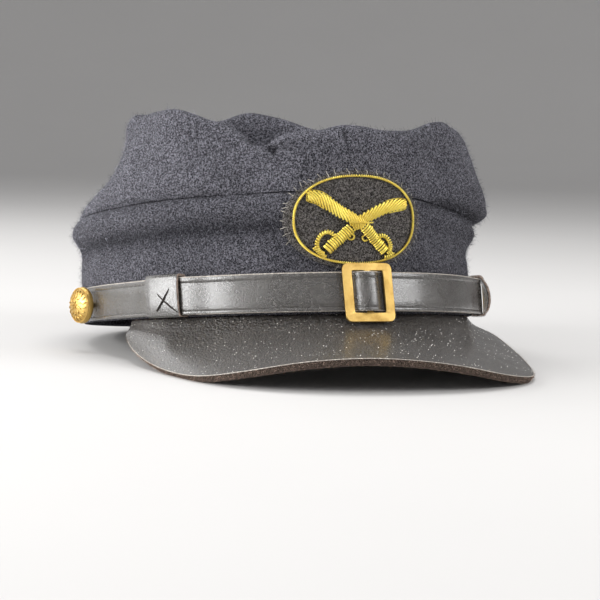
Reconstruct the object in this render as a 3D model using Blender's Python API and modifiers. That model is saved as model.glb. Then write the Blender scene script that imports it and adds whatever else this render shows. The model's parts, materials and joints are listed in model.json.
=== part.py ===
"""A soft wool forage cap of the kepi kind, lying on a table by itself.

Worn frame: +X to the wearer's left, -Y to the front, +Z up, zero height at the chin strap's lower edge.
Angles round the head are in degrees from the front, positive toward the wearer's left.
One empty carries every piece and tips the cap onto the two lobes of its visor and the back of its band.
All sizes are in metres.
"""
import math
from collections import namedtuple

import bmesh
import bpy
from mathutils import Euler, Matrix, Vector

# ---------------------------------------------------------------- driving dimensions

CLOTH = 0.0020            # thickness of the wool cloth
TOP_CLOTH = 0.0024        # thickness of the stiffened crown top
VISOR_LEATHER = 0.0030
STRAP_LEATHER = 0.0016
KEEPER_LEATHER = 0.0012
SLIDE_BRASS = 0.0012
GAP = 0.0003              # clearance between neighbouring pieces

STRAP_HEIGHT = 0.0159     # a strap five eighths of an inch wide
STRAP_FOOT = 0.0001
STRAP_MIDDLE = STRAP_FOOT + STRAP_HEIGHT / 2

BUTTON_ANGLE = 88.0
BUTTON_RADIUS = 0.0080
BUTTON_DOME = 0.0040
BUTTON_RIM = 0.0012
BUTTON_SHANK = 0.0012
BUTTON_STAND = 0.0026     # from the strap to the middle of the button's back
BUTTON_TURN = 14.0        # degrees that a loose button swings toward the front
BUTTON_STEPS = 24
DOME_STEPS = 6
SHANK_HOLE_DEPTH = 0.012
STRAP_TAIL = 7.0          # degrees of strap beyond the button
TIP_STATIONS = (0.0, 0.25, 0.7, 1.3)    # degrees from a strap's end where its round tip is drawn
TIP_CLEAR = 1.9           # no other station is nearer to the end than this
TIP_LEAST = 0.2           # share of its half width that a strap keeps at the very end

LEFT_KEEPER = -54.0
RIGHT_KEEPER = 57.5
KEEPER_SPREAD = 4.8       # half of a keeper's length, in degrees
KEEPER_CORNER = 0.0005
KEEPER_REACH = 8.0        # degrees over which a strap climbs onto a keeper's back

SLIDE_ANGLE = -0.8
SLIDE_WIDTH = 0.0214
SLIDE_TOP = 0.0122        # from the strap's middle
SLIDE_BOTTOM = 0.0120
SLIDE_SIDE_BAR = 0.0039
SLIDE_CENTRE_BAR = 0.0024
SLIDE_CORNER = 0.0026
WINDOW_CORNER = 0.00065
STRAP_RISE = 0.0008       # the strap sits this much higher where it rides over the centre bar

BADGE_X = -0.0041
BADGE_Z = 0.0367
BADGE_CLOTH_SIZE = (0.0620, 0.0400)
BADGE_CLOTH_THICKNESS = 0.0014
BADGE_RADIUS = 0.0735     # how the badge bends round the front of the cap
BADGE_FRONT = -0.0996
BADGE_PITCH = 0.085       # how far the badge leans out at its top, per unit of height
BADGE_ROWS = 5            # rows of the badge's cloth above its middle, and as many below
BADGE_COLUMNS = 6         # columns on each side of its middle
BADGE_LAST_ROW = 80.0     # the last row's height, as degrees of a half circle
RING_SIZE = (0.0530, 0.0362)
RING_CORD = 0.0006
RING_POINTS = 52
SABRE_THICKNESS = 0.0010

REST_PITCH = 9.17         # degrees that the front is lifted when the cap lies on a table
REST_ROLL = 0.40
REST_LIFT = 0.01149       # from the table to the worn frame's origin
REST_SETTLE = 0.0005      # how far cloth and leather flatten where they bear on the table
REST_FORWARD = 0.0206     # puts the middle of the cap's outline over the origin

SHARP = 35.0              # edges bent by more degrees than this are shown sharp
RING_STEPS = 64           # points round the cap
BAND_ROWS = 8
CROWN_ROWS = 16

Section = namedtuple("Section", "name half_width front_y wide_y back_y front_z back_z")
BAND_SECTIONS = [
    Section("lower edge", 0.0835, -0.0990, 0.008, 0.1000, -0.0008, 0.0045),
    Section("behind the strap", 0.0836, -0.0968, 0.008, 0.1000, 0.0120, 0.0150),
    Section("waist", 0.0842, -0.0940, 0.008, 0.1004, 0.0320, 0.0320),
    Section("under the roll", 0.0850, -0.0940, 0.008, 0.1010, 0.0370, 0.0370),
    Section("roll", 0.0866, -0.0960, 0.008, 0.1024, 0.0410, 0.0410),
    Section("top of the roll", 0.0858, -0.0952, 0.008, 0.1016, 0.0448, 0.0448),
    Section("seam", 0.0852, -0.0946, 0.008, 0.1010, 0.0470, 0.0470),
]
CROWN_SECTIONS = [
    Section("seam", 0.0852, -0.0946, 0.008, 0.1010, 0.0473, 0.0473),
    Section("above the seam", 0.0853, -0.0952, 0.007, 0.1005, 0.0495, 0.0500),
    Section("low side", 0.0846, -0.0975, 0.004, 0.0940, 0.0550, 0.0580),
    Section("middle", 0.0806, -0.0992, -0.004, 0.0760, 0.0620, 0.0700),
    Section("high side", 0.0762, -0.0995, -0.011, 0.0600, 0.0690, 0.0830),
    Section("shoulder", 0.0748, -0.0986, -0.014, 0.0530, 0.0722, 0.0920),
    Section("rim", 0.0712, -0.0955, -0.015, 0.0490, 0.0752, 0.0982),
    Section("inside the rim", 0.0676, -0.0915, -0.016, 0.0455, 0.0740, 0.0965),
    Section("well wall", 0.0655, -0.0880, -0.016, 0.0440, 0.0690, 0.0900),
    Section("well foot", 0.0645, -0.0860, -0.015, 0.0440, 0.0620, 0.0825),
]

SEAM_SAG = -0.0055        # how far the crown seam droops on the wearer's left
SEAM_SAG_ANGLE = 78.0
SEAM_SAG_SPREAD = 38.0
SAG_HELD = 0.05           # share of the crown above the seam that droops as far as the seam does
SAG_FADE = 0.5            # and the share over which the droop fades
SEWN_LEVEL = 0.12         # share of the crown over which the sewing holds the folds flat
TOP_PLACE = 8.75          # place in the crown's table where the top disc meets the well
TOP_RINGS = (1.0, 0.7, 0.35)

Fold = namedtuple("Fold", "name angle spread level reach push lift")
CROWN_FOLDS = [
    Fold("dip in the front rim", -37.0, 10.0, 0.66, 0.20, -0.0018, -0.0050),
    Fold("left front corner", -69.0, 17.0, 0.62, 0.22, 0.0004, 0.0055),
    Fold("right front corner", 50.0, 15.0, 0.62, 0.20, 0.0010, 0.0016),
    Fold("sag over the band", 66.0, 32.0, 0.20, 0.13, 0.0058, -0.0012),
    Fold("full right shoulder", 64.0, 28.0, 0.42, 0.14, 0.0030, 0.0000),
    Fold("hollow behind the left corner", -108.0, 34.0, 0.36, 0.16, -0.0045, 0.0000),
    Fold("high back rim", -168.0, 34.0, 0.66, 0.24, 0.0000, 0.0040),
    Fold("dip in the back rim", 146.0, 18.0, 0.66, 0.22, -0.0015, -0.0045),
    Fold("right back slump", 112.0, 26.0, 0.34, 0.16, 0.0026, -0.0008),
]

EdgePoint = namedtuple("EdgePoint", "angle x y z")
VISOR_EDGE = [
    EdgePoint(-70, -0.0815, -0.0330, -0.0060),
    EdgePoint(-64, -0.0818, -0.0420, -0.0115),
    EdgePoint(-57, -0.0807, -0.0580, -0.0175),
    EdgePoint(-48, -0.0778, -0.0800, -0.0227),
    EdgePoint(-39, -0.0725, -0.1020, -0.0252),
    EdgePoint(-30, -0.0610, -0.1225, -0.0240),
    EdgePoint(-20, -0.0440, -0.1370, -0.0216),
    EdgePoint(-10, -0.0220, -0.1453, -0.0207),
    EdgePoint(0, 0.0000, -0.1473, -0.0220),
    EdgePoint(10, 0.0210, -0.1453, -0.0246),
    EdgePoint(20, 0.0400, -0.1390, -0.0275),
    EdgePoint(30, 0.0570, -0.1270, -0.0282),
    EdgePoint(39, 0.0690, -0.1080, -0.0258),
    EdgePoint(48, 0.0765, -0.0850, -0.0196),
    EdgePoint(57, 0.0808, -0.0620, -0.0123),
    EdgePoint(64, 0.0820, -0.0470, -0.0072),
    EdgePoint(70, 0.0815, -0.0340, -0.0036),
]
VISOR_STEPS = 56
VISOR_TUCK = 0.0015       # how far the visor reaches in under the band

ProfilePoint = namedtuple("ProfilePoint", "out drop")
VISOR_PROFILE = [
    ProfilePoint(0.00, 0.00),
    ProfilePoint(0.06, 0.12),
    ProfilePoint(0.15, 0.27),
    ProfilePoint(0.30, 0.42),
    ProfilePoint(0.50, 0.58),
    ProfilePoint(0.75, 0.77),
    ProfilePoint(0.95, 0.955),
    ProfilePoint(1.00, 1.00),
]

SabrePoint = namedtuple("SabrePoint", "across up half_width")
LEFT_SABRE = [            # from the point of the blade, top left, to the end of the hilt
    SabrePoint(-0.0209, 0.0096, 0.0006),
    SabrePoint(-0.0204, 0.0096, 0.0015),
    SabrePoint(-0.0191, 0.0095, 0.0021),
    SabrePoint(-0.0158, 0.0087, 0.0024),
    SabrePoint(-0.0126, 0.0067, 0.0024),
    SabrePoint(-0.0092, 0.0044, 0.0023),
    SabrePoint(-0.0059, 0.0023, 0.0022),
    SabrePoint(-0.0025, 0.0003, 0.0021),
    SabrePoint(0.0005, -0.0015, 0.0020),
    SabrePoint(0.0036, -0.0041, 0.0019),
    SabrePoint(0.0068, -0.0072, 0.0019),
    SabrePoint(0.0098, -0.0102, 0.0019),
    SabrePoint(0.0120, -0.0124, 0.0018),
]
RIGHT_SABRE = [           # the same, from the top right
    SabrePoint(0.0225, 0.0067, 0.0006),
    SabrePoint(0.0219, 0.0067, 0.0015),
    SabrePoint(0.0202, 0.0066, 0.0021),
    SabrePoint(0.0166, 0.0061, 0.0023),
    SabrePoint(0.0127, 0.0050, 0.0022),
    SabrePoint(0.0090, 0.0035, 0.0022),
    SabrePoint(0.0054, 0.0017, 0.0021),
    SabrePoint(0.0018, -0.0002, 0.0020),
    SabrePoint(-0.0008, -0.0019, 0.0020),
    SabrePoint(-0.0042, -0.0048, 0.0019),
    SabrePoint(-0.0075, -0.0076, 0.0019),
    SabrePoint(-0.0106, -0.0102, 0.0019),
    SabrePoint(-0.0124, -0.0120, 0.0018),
]
CROSSING_ROW = 7.9        # place in the tables where one sabre rides over the other
CROSSING_REACH = 1.1      # rows on each side of it that are fully raised
CROSSING_SLOPE = 1.4      # rows over which the raised part comes down
SABRE_STEPS = 24

Sabre = namedtuple("Sabre", "name shape lift")
SABRES = [
    Sabre("sabre_left", LEFT_SABRE, SABRE_THICKNESS + GAP),
    Sabre("sabre_right", RIGHT_SABRE, 0.0),
]
RING_FULLNESS = 2.25      # two would be a plain ellipse

Look = namedtuple("Look", "colour metallic roughness")
LOOKS = {
    "wool": Look((0.014, 0.016, 0.030), 0.0, 0.95),
    "badge wool": Look((0.008, 0.008, 0.010), 0.0, 0.95),
    "visor leather": Look((0.012, 0.011, 0.010), 0.0, 0.35),
    "strap leather": Look((0.010, 0.010, 0.010), 0.0, 0.30),
    "brass": Look((0.72, 0.48, 0.14), 1.0, 0.35),
    "gold wire": Look((0.80, 0.58, 0.10), 0.6, 0.40),
}


# ---------------------------------------------------------------- tables into smooth shapes

def smooth(before, start, end, after, part):
    """Catmull-Rom blend between start and end."""
    slope = (end - before) / 2
    next_slope = (after - start) / 2
    bend = 3 * (end - start) - 2 * slope - next_slope
    twist = 2 * (start - end) + slope + next_slope
    return start + part * (slope + part * (bend + part * twist))


def row_at(table, place):
    """Named row at a fractional place in a table, blended through its neighbours."""
    last = len(table) - 1
    index = min(int(place), last - 1)
    rows = [table[max(0, min(last, index + step))] for step in (-1, 0, 1, 2)]
    part = place - index
    numbers = {}
    for column in table[0]._fields:
        if column != "name":
            numbers[column] = smooth(*[getattr(row, column) for row in rows], part)
    if "name" in table[0]._fields:
        numbers["name"] = rows[1].name
    return type(table[0])(**numbers)


def row_for(table, column, value):
    """Row of a table where one rising column has a value."""
    for index, (row, following) in enumerate(zip(table, table[1:])):
        start, end = getattr(row, column), getattr(following, column)
        if value <= end or following is table[-1]:
            return row_at(table, index + (value - start) / (end - start))


def outward(section, angle):
    """Level direction square to a section's outline."""
    turn = math.radians(angle)
    depth = section.wide_y - section.front_y if math.cos(turn) > 0 else section.back_y - section.wide_y
    return Vector((depth * math.sin(turn), -section.half_width * math.cos(turn), 0)).normalized()


def on_section(section, angle, offset=0.0):
    """Point on a section's egg-shaped outline, moved outward by the offset."""
    turn = math.radians(angle)
    depth = section.wide_y - section.front_y if math.cos(turn) > 0 else section.back_y - section.wide_y
    y = section.wide_y - depth * math.cos(turn)
    along = (y - section.front_y) / (section.back_y - section.front_y)
    z = section.front_z + along * (section.back_z - section.front_z)
    point = Vector((section.half_width * math.sin(turn), y, z))
    return point + offset * outward(section, angle)


def seam_sag(angle):
    """Droop of the crown seam at an angle round the head."""
    round_way = (angle - SEAM_SAG_ANGLE + 180) % 360 - 180
    return SEAM_SAG * math.exp(-(round_way / SEAM_SAG_SPREAD) ** 2)


def on_band(angle, height, offset):
    """Point at a height on the band, outside its cloth by the offset."""
    return on_section(row_for(BAND_SECTIONS, "front_z", height), angle, offset)


def bump(value, middle, half_width, slope):
    """One within half_width of the middle, falling smoothly to zero over the slope."""
    part = 1 - min(1, max(0, (abs(value - middle) - half_width) / slope))
    return part * part * (3 - 2 * part)


def ring_angles():
    return [360 * step / RING_STEPS for step in range(RING_STEPS)]


# ---------------------------------------------------------------- Blender helpers

def clear_scene():
    for thing in list(bpy.data.objects):
        bpy.data.objects.remove(thing)


def new_collection(name):
    collection = bpy.data.collections.new(name)
    bpy.context.scene.collection.children.link(collection)
    return collection


def material(name):
    look = LOOKS[name]
    made = bpy.data.materials.get(name) or bpy.data.materials.new(name)
    made.use_nodes = True
    shader = made.node_tree.nodes["Principled BSDF"]
    shader.inputs["Base Color"].default_value = (*look.colour, 1)
    shader.inputs["Metallic"].default_value = look.metallic
    shader.inputs["Roughness"].default_value = look.roughness
    made.diffuse_color = (*look.colour, 1)
    return made


def place(piece, cap, look):
    """Put a piece in the cap's collection, under the empty that holds the cap."""
    cap["collection"].objects.link(piece)
    piece.parent = cap["rest"]
    piece.data.materials.clear()
    piece.data.materials.append(material(look))
    return piece


def piece_from_bmesh(name, bm, cap, look):
    bmesh.ops.recalc_face_normals(bm, faces=bm.faces)
    mesh = bpy.data.meshes.new(name)
    bm.to_mesh(mesh)
    bm.free()
    mesh.shade_smooth()
    mesh.set_sharp_from_angle(angle=math.radians(SHARP))
    return place(bpy.data.objects.new(name, mesh), cap, look)


def sheet(name, rows, cap, look, thickness, side, closed_rows=False, closed_columns=False):
    """Open surface through rows of points, given its thickness on one side of the surface."""
    mesh = bpy.data.meshes.new(name)
    columns = len(rows[0])
    faces = []
    for row in range(len(rows) if closed_rows else len(rows) - 1):
        above = (row + 1) % len(rows)
        for column in range(columns if closed_columns else columns - 1):
            beside = (column + 1) % columns
            faces.append([row * columns + column, row * columns + beside,
                          above * columns + beside, above * columns + column])
    mesh.from_pydata([point for row in rows for point in row], [], faces)
    mesh.shade_smooth()
    piece = place(bpy.data.objects.new(name, mesh), cap, look)
    solid = piece.modifiers.new("Thickness", "SOLIDIFY")
    solid.thickness = thickness
    solid.offset = side
    solid.use_even_offset = True
    return piece


def cut(piece, cutter):
    boolean = piece.modifiers.new("Cut", "BOOLEAN")
    boolean.operation = "DIFFERENCE"
    boolean.solver = "EXACT"
    boolean.object = cutter


def as_cutter(cutter, cap):
    for collection in list(cutter.users_collection):
        collection.objects.unlink(cutter)
    cap["cutters"].objects.link(cutter)
    cutter.hide_render = True
    cutter.display_type = "WIRE"
    return cutter


# ---------------------------------------------------------------- cloth

def band_point(place_in_table, angle):
    """Point on the band's cloth, which droops with the seam above the chin strap."""
    section = row_at(BAND_SECTIONS, place_in_table)
    share = max(0, (section.front_z - STRAP_FOOT - STRAP_HEIGHT) / (BAND_SECTIONS[-1].front_z - STRAP_HEIGHT))
    return on_section(section, angle) + Vector((0, 0, share * seam_sag(angle)))


def build_band(cap, floor):
    """Upright band with the padded roll just under the crown seam."""
    levels = [(len(BAND_SECTIONS) - 1) * step / BAND_ROWS for step in range(BAND_ROWS + 1)]
    rows = [[band_point(level, angle) for angle in ring_angles()] for level in levels]
    band = sheet("band", rows, cap, "wool", CLOTH, -1, closed_columns=True)
    cut(band, floor)


def crown_point(place_in_table, angle):
    """Point on the slumped crown: its smooth section moved by every fold that reaches it."""
    section = row_at(CROWN_SECTIONS, place_in_table)
    level = place_in_table / (len(CROWN_SECTIONS) - 1)
    point = on_section(section, angle)
    direction = outward(section, angle)
    held = min(1.0, level / SEWN_LEVEL)
    point.z += seam_sag(angle) * bump(level, 0, SAG_HELD, SAG_FADE)
    for fold in CROWN_FOLDS:
        round_way = (angle - fold.angle + 180) % 360 - 180
        weight = math.exp(-(round_way / fold.spread) ** 2 - ((level - fold.level) / fold.reach) ** 2)
        point += held * weight * (fold.push * direction + Vector((0, 0, fold.lift)))
    return point


def build_crown_side(cap):
    """Soft wall that rises from the seam, folds over at the rim and drops into the well of the top."""
    places = [(len(CROWN_SECTIONS) - 1) * step / CROWN_ROWS for step in range(CROWN_ROWS + 1)]
    rows = [[crown_point(place_in_table, angle) for angle in ring_angles()] for place_in_table in places]
    sheet("crown_side", rows, cap, "wool", CLOTH, -1, closed_columns=True)


def build_crown_top(cap):
    """Flat stiffened disc at the foot of the well."""
    outline = [crown_point(TOP_PLACE, angle) for angle in ring_angles()]
    middle = sum(outline, Vector()) / len(outline)
    bm = bmesh.new()
    rings = []
    for share in TOP_RINGS:
        ring = []
        for point in outline:
            inset = (point - middle).normalized() * 2 * GAP
            ring.append(bm.verts.new(middle + share * (point - inset - middle)))
        rings.append(ring)
    hub = bm.verts.new(middle)
    for ring, inner in zip(rings, rings[1:]):
        for index in range(RING_STEPS):
            beside = (index + 1) % RING_STEPS
            bm.faces.new((ring[index], ring[beside], inner[beside], inner[index]))
    for index in range(RING_STEPS):
        bm.faces.new((rings[-1][index], rings[-1][(index + 1) % RING_STEPS], hub))
    top = piece_from_bmesh("crown_top", bm, cap, "wool")
    solid = top.modifiers.new("Thickness", "SOLIDIFY")
    solid.thickness = TOP_CLOTH
    solid.offset = 0


# ---------------------------------------------------------------- leather

def visor_point(angle, share):
    """Point on the visor's upper face, from the band seam at zero to the outer edge at one."""
    seam = on_section(BAND_SECTIONS[0], angle, -VISOR_TUCK)
    seam.z -= 2 * GAP
    edge_row = row_for(VISOR_EDGE, "angle", angle)
    edge = Vector((edge_row.x, edge_row.y, edge_row.z))
    drop = row_for(VISOR_PROFILE, "out", share).drop
    point = seam.lerp(edge, share)
    point.z = seam.z + drop * (edge.z - seam.z)
    return point


def build_visor(cap, floor):
    """Drooping crescent of thick leather, sewn on under the front of the band."""
    first, last = VISOR_EDGE[0].angle, VISOR_EDGE[-1].angle
    angles = [first + (last - first) * step / VISOR_STEPS for step in range(VISOR_STEPS + 1)]
    shares = [point.out for point in VISOR_PROFILE]
    rows = [[visor_point(angle, share) for angle in angles] for share in shares]
    visor = sheet("visor", rows, cap, "visor leather", VISOR_LEATHER, 1)
    cut(visor, floor)


def strap_angles(start, end):
    """Stations along a strap, close together where it threads the slide."""
    coarse, fine, threaded, nearly = 3.0, 0.8, 6.4, 0.01
    angles = [start]
    while angles[-1] < end - nearly:
        step = fine if -threaded - coarse < angles[-1] < threaded else coarse
        angles.append(min(end, angles[-1] + step))
    return angles


def under_base(angle):
    """Distance from the band to the back of the under strap."""
    lift = KEEPER_LEATHER + GAP
    near_keepers = sum(bump(angle, keeper, KEEPER_SPREAD, KEEPER_REACH)
                       for keeper in (LEFT_KEEPER, RIGHT_KEEPER))
    return GAP + lift * near_keepers


def over_base(angle):
    """Distance from the band to the back of the over strap."""
    under_end = RIGHT_KEEPER + KEEPER_SPREAD
    doubled = (STRAP_LEATHER + GAP) * bump(angle, 0, under_end + 1, KEEPER_REACH)
    if angle < LEFT_KEEPER + KEEPER_SPREAD:
        doubled = STRAP_LEATHER + GAP
    degree = math.radians(1) * BAND_SECTIONS[0].half_width
    slot = SLIDE_WIDTH / 2 - SLIDE_SIDE_BAR - SLIDE_CENTRE_BAR / 2
    over_bar = bump(angle, SLIDE_ANGLE, SLIDE_CENTRE_BAR / 2 / degree, slot / degree)
    return under_base(angle) + doubled + (STRAP_LEATHER + SLIDE_BRASS + 4 * GAP) * over_bar


def strap_rows(start, end, base, tip_start, tip_end):
    """Rows of points across a strap, with rounded tips where asked."""
    radius = STRAP_HEIGHT / 2
    degree = math.radians(1) * BAND_SECTIONS[0].half_width
    angles = strap_angles(start, end)
    if tip_start:
        angles = [start + tip for tip in TIP_STATIONS] + [a for a in angles if a > start + TIP_CLEAR]
    if tip_end:
        angles = [a for a in angles if a < end - TIP_CLEAR] + [end - tip for tip in reversed(TIP_STATIONS)]
    rows = []
    for angle in angles:
        half = radius
        for tipped, tip in ((tip_start, start), (tip_end, end)):
            reach = abs(angle - tip) * degree
            if tipped and reach < radius:
                half = max(TIP_LEAST * radius, math.sqrt(radius ** 2 - (radius - reach) ** 2))
        rows.append([on_band(angle, STRAP_MIDDLE + share * half, base(angle)) for share in (-1, 0, 1)])
    return rows


def build_straps(cap):
    """Two straps that overlap across the front, each held by its own side button."""
    button_end = BUTTON_ANGLE + STRAP_TAIL
    under = strap_rows(-button_end, RIGHT_KEEPER + KEEPER_SPREAD, under_base, True, False)
    over = strap_rows(LEFT_KEEPER - KEEPER_SPREAD, button_end, over_base, False, True)
    straps = [sheet("chin_strap_under", under, cap, "strap leather", STRAP_LEATHER, -1),
              sheet("chin_strap_over", over, cap, "strap leather", STRAP_LEATHER, -1)]
    for strap, side in zip(straps, (-1, 1)):
        cut(strap, shank_hole(cap, side))


def keeper_loop(angle, depth):
    """Rounded loop round both straps, in the plane across them."""
    inner_back = GAP + KEEPER_LEATHER
    back, front = inner_back + KEEPER_CORNER, inner_back + depth - KEEPER_CORNER
    low = STRAP_FOOT - GAP + KEEPER_CORNER
    high = STRAP_FOOT + STRAP_HEIGHT + GAP - KEEPER_CORNER
    points = []
    for offset, height, turn in ((front, high, 0), (back, high, 90), (back, low, 180), (front, low, 270)):
        for step in (0, 45, 90):
            arc = math.radians(turn + step)
            points.append(on_band(angle, height + KEEPER_CORNER * math.sin(arc),
                                  offset + KEEPER_CORNER * math.cos(arc)))
    return points


def build_keepers(cap):
    """Leather loops at the free ends of the straps."""
    depth = 2 * STRAP_LEATHER + 3 * GAP
    for name, middle in (("keeper_left", LEFT_KEEPER), ("keeper_right", RIGHT_KEEPER)):
        angles = [middle + KEEPER_SPREAD * share for share in (-1, -0.5, 0, 0.5, 1)]
        rows = [keeper_loop(angle, depth) for angle in angles]
        sheet(name, rows, cap, "strap leather", KEEPER_LEATHER, -1, closed_columns=True)


# ---------------------------------------------------------------- brass

def rounded_box_spline(curve, left, right, bottom, top, corner):
    """Closed outline with round corners, added to a flat curve."""
    steps = 4
    middles = [(right - corner, top - corner), (left + corner, top - corner),
               (left + corner, bottom + corner), (right - corner, bottom + corner)]
    points = []
    for quarter, (x, y) in enumerate(middles):
        for step in range(steps + 1):
            turn = math.radians(90 * (quarter + step / steps))
            points.append((x + corner * math.cos(turn), y + corner * math.sin(turn)))
    spline = curve.splines.new("POLY")
    spline.points.add(len(points) - 1)
    for point, (x, y) in zip(spline.points, points):
        point.co = (x, y, 0, 1)
    spline.use_cyclic_u = True


def front_pitch():
    """How far the front of the band leans out toward its lower edge."""
    low, high = BAND_SECTIONS[0], BAND_SECTIONS[2]
    return math.atan2(high.front_y - low.front_y, high.front_z - low.front_z)


def build_slide(cap):
    """Three-bar slide at the front: the over strap runs under its sides and over its centre bar."""
    curve = bpy.data.curves.new("slide", "CURVE")
    curve.dimensions = "2D"
    curve.fill_mode = "BOTH"
    curve.extrude = SLIDE_BRASS / 2
    half = SLIDE_WIDTH / 2
    rounded_box_spline(curve, -half, half, -SLIDE_BOTTOM, SLIDE_TOP, SLIDE_CORNER)
    window = STRAP_HEIGHT / 2 + GAP
    for side in (-1, 1):
        edges = sorted((side * SLIDE_CENTRE_BAR / 2, side * (half - SLIDE_SIDE_BAR)))
        rounded_box_spline(curve, *edges, -window, window + STRAP_RISE, WINDOW_CORNER)
    slide = place(bpy.data.objects.new("slide_buckle", curve), cap, "brass")
    offset = over_base(2 * KEEPER_SPREAD) + STRAP_LEATHER + 1.5 * GAP + SLIDE_BRASS / 2
    slide.location = on_band(SLIDE_ANGLE, STRAP_MIDDLE, offset)
    slide.rotation_euler = (math.radians(90) - front_pitch(), 0, 0)


def turned(name, profile, steps):
    """Mesh of a solid turned about its own Z axis from a profile of radius and height, top first."""
    mesh = bpy.data.meshes.new(name)
    edges = [(index, index + 1) for index in range(len(profile) - 1)]
    mesh.from_pydata([(radius, 0, height) for radius, height in profile], edges, [])
    maker = bpy.data.objects.new(name, mesh)
    bpy.context.scene.collection.objects.link(maker)
    screw = maker.modifiers.new("Turn", "SCREW")
    screw.steps = steps
    screw.render_steps = steps
    screw.use_merge_vertices = True
    screw.merge_threshold = 0.00001
    screw.use_smooth_shade = True
    return maker


def button_matrix(side):
    """Middle of a side button's back: Z points out of the button, swung toward the front."""
    angle = side * BUTTON_ANGLE
    seat = on_band(angle, STRAP_MIDDLE, GAP + STRAP_LEATHER + BUTTON_STAND)
    axis = outward(BAND_SECTIONS[1], angle)
    axis.rotate(Euler((0, 0, math.radians(-side * BUTTON_TURN))))
    return Matrix.Translation(seat) @ axis.to_track_quat("Z", "Y").to_matrix().to_4x4()


def build_buttons(cap):
    """Domed brass buttons that swing a little on shanks set through the strap ends."""
    profile = [(0, BUTTON_DOME + BUTTON_RIM)]
    for step in range(1, DOME_STEPS + 1):
        turn = math.radians(90 * step / DOME_STEPS)
        profile.append((BUTTON_RADIUS * math.sin(turn), BUTTON_RIM + BUTTON_DOME * math.cos(turn)))
    shank_end = -BUTTON_STAND - STRAP_LEATHER
    profile += [(BUTTON_RADIUS, BUTTON_RIM / 2), (BUTTON_RADIUS - BUTTON_RIM / 2, 0),
                (BUTTON_SHANK, 0), (BUTTON_SHANK, shank_end), (0, shank_end)]
    for name, side in (("button_left", -1), ("button_right", 1)):
        button = turned(name, profile, BUTTON_STEPS)
        bpy.context.scene.collection.objects.unlink(button)
        place(button, cap, "brass")
        button.matrix_local = button_matrix(side)


def shank_hole(cap, side):
    bpy.ops.mesh.primitive_cylinder_add(vertices=16, radius=BUTTON_SHANK + 2 * GAP, depth=SHANK_HOLE_DEPTH)
    hole = as_cutter(bpy.context.object, cap)
    hole.name = "shank hole"
    hole.parent = cap["rest"]
    hole.matrix_local = button_matrix(side)
    return hole


# ---------------------------------------------------------------- badge

def on_badge(across, up, offset):
    """Point on the badge, measured along its bent face from its middle."""
    turn = (BADGE_X + across) / BADGE_RADIUS
    radius = BADGE_RADIUS + offset
    front = BADGE_FRONT - BADGE_PITCH * up
    return Vector((radius * math.sin(turn), front + BADGE_RADIUS - radius * math.cos(turn), BADGE_Z + up))


def build_badge_cloth(cap):
    """Oval of wool bent round the front of the cap."""
    half_width, half_height = (size / 2 for size in BADGE_CLOTH_SIZE)
    rows = []
    for step in range(-BADGE_ROWS, BADGE_ROWS + 1):
        up = math.sin(math.radians(BADGE_LAST_ROW * step / BADGE_ROWS))
        spacing = half_width * math.sqrt(1 - up * up) / BADGE_COLUMNS
        rows.append([on_badge(spacing * column, half_height * up, 0)
                     for column in range(-BADGE_COLUMNS, BADGE_COLUMNS + 1)])
    sheet("badge_cloth", rows, cap, "badge wool", BADGE_CLOTH_THICKNESS, -1)


def rounded(part):
    """Sine or cosine of an oval a little fuller than an ellipse."""
    return math.copysign(abs(part) ** (2 / RING_FULLNESS), part)


def build_badge_ring(cap):
    """Oval of couched gold cord."""
    curve = bpy.data.curves.new("ring", "CURVE")
    curve.dimensions = "3D"
    curve.bevel_depth = RING_CORD
    curve.bevel_resolution = 1
    spline = curve.splines.new("POLY")
    spline.points.add(RING_POINTS - 1)
    for step, point in enumerate(spline.points):
        turn = math.tau * step / RING_POINTS
        across = (RING_SIZE[0] / 2 - RING_CORD) * rounded(math.cos(turn))
        up = (RING_SIZE[1] / 2 - RING_CORD) * rounded(math.sin(turn))
        point.co = (*on_badge(across, up, GAP + RING_CORD), 1)
    spline.use_cyclic_u = True
    place(bpy.data.objects.new("badge_ring", curve), cap, "gold wire")


def build_sabre(cap, sabre):
    """Padded strip from blade tip to hilt end, raised where it rides over the other sabre."""
    rows = []
    nudge = 0.05
    last = len(sabre.shape) - 1
    for step in range(SABRE_STEPS + 1):
        place_in_table = last * step / SABRE_STEPS
        here = row_at(sabre.shape, place_in_table)
        ahead = row_at(sabre.shape, min(last, place_in_table + nudge))
        behind = row_at(sabre.shape, max(0, place_in_table - nudge))
        along = Vector((ahead.across - behind.across, ahead.up - behind.up)).normalized()
        offset = GAP + sabre.lift * bump(place_in_table, CROSSING_ROW, CROSSING_REACH, CROSSING_SLOPE)
        rows.append([on_badge(here.across - along.y * reach, here.up + along.x * reach, offset)
                     for reach in (-here.half_width, 0, here.half_width)])
    sheet(sabre.name, rows, cap, "gold wire", SABRE_THICKNESS, -1)


# ---------------------------------------------------------------- the whole cap

def rest_empty():
    """Empty that tips the cap forward onto its visor; every piece hangs on it."""
    rest = bpy.data.objects.new("resting pose", None)
    bpy.context.scene.collection.objects.link(rest)
    rest.rotation_euler = (math.radians(-REST_PITCH), math.radians(REST_ROLL), 0)
    rest.location = (0, REST_FORWARD, REST_LIFT - REST_SETTLE)
    return rest


def floor_cutter(cap):
    """Block under the table top that flattens the cloth and leather where they bear on it."""
    depth = 0.05
    bpy.ops.mesh.primitive_cube_add(size=1, location=(0, 0, -depth / 2))
    floor = bpy.context.object
    floor.scale = (0.5, 0.5, depth)
    floor.name = "table top"
    return as_cutter(floor, cap)


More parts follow.
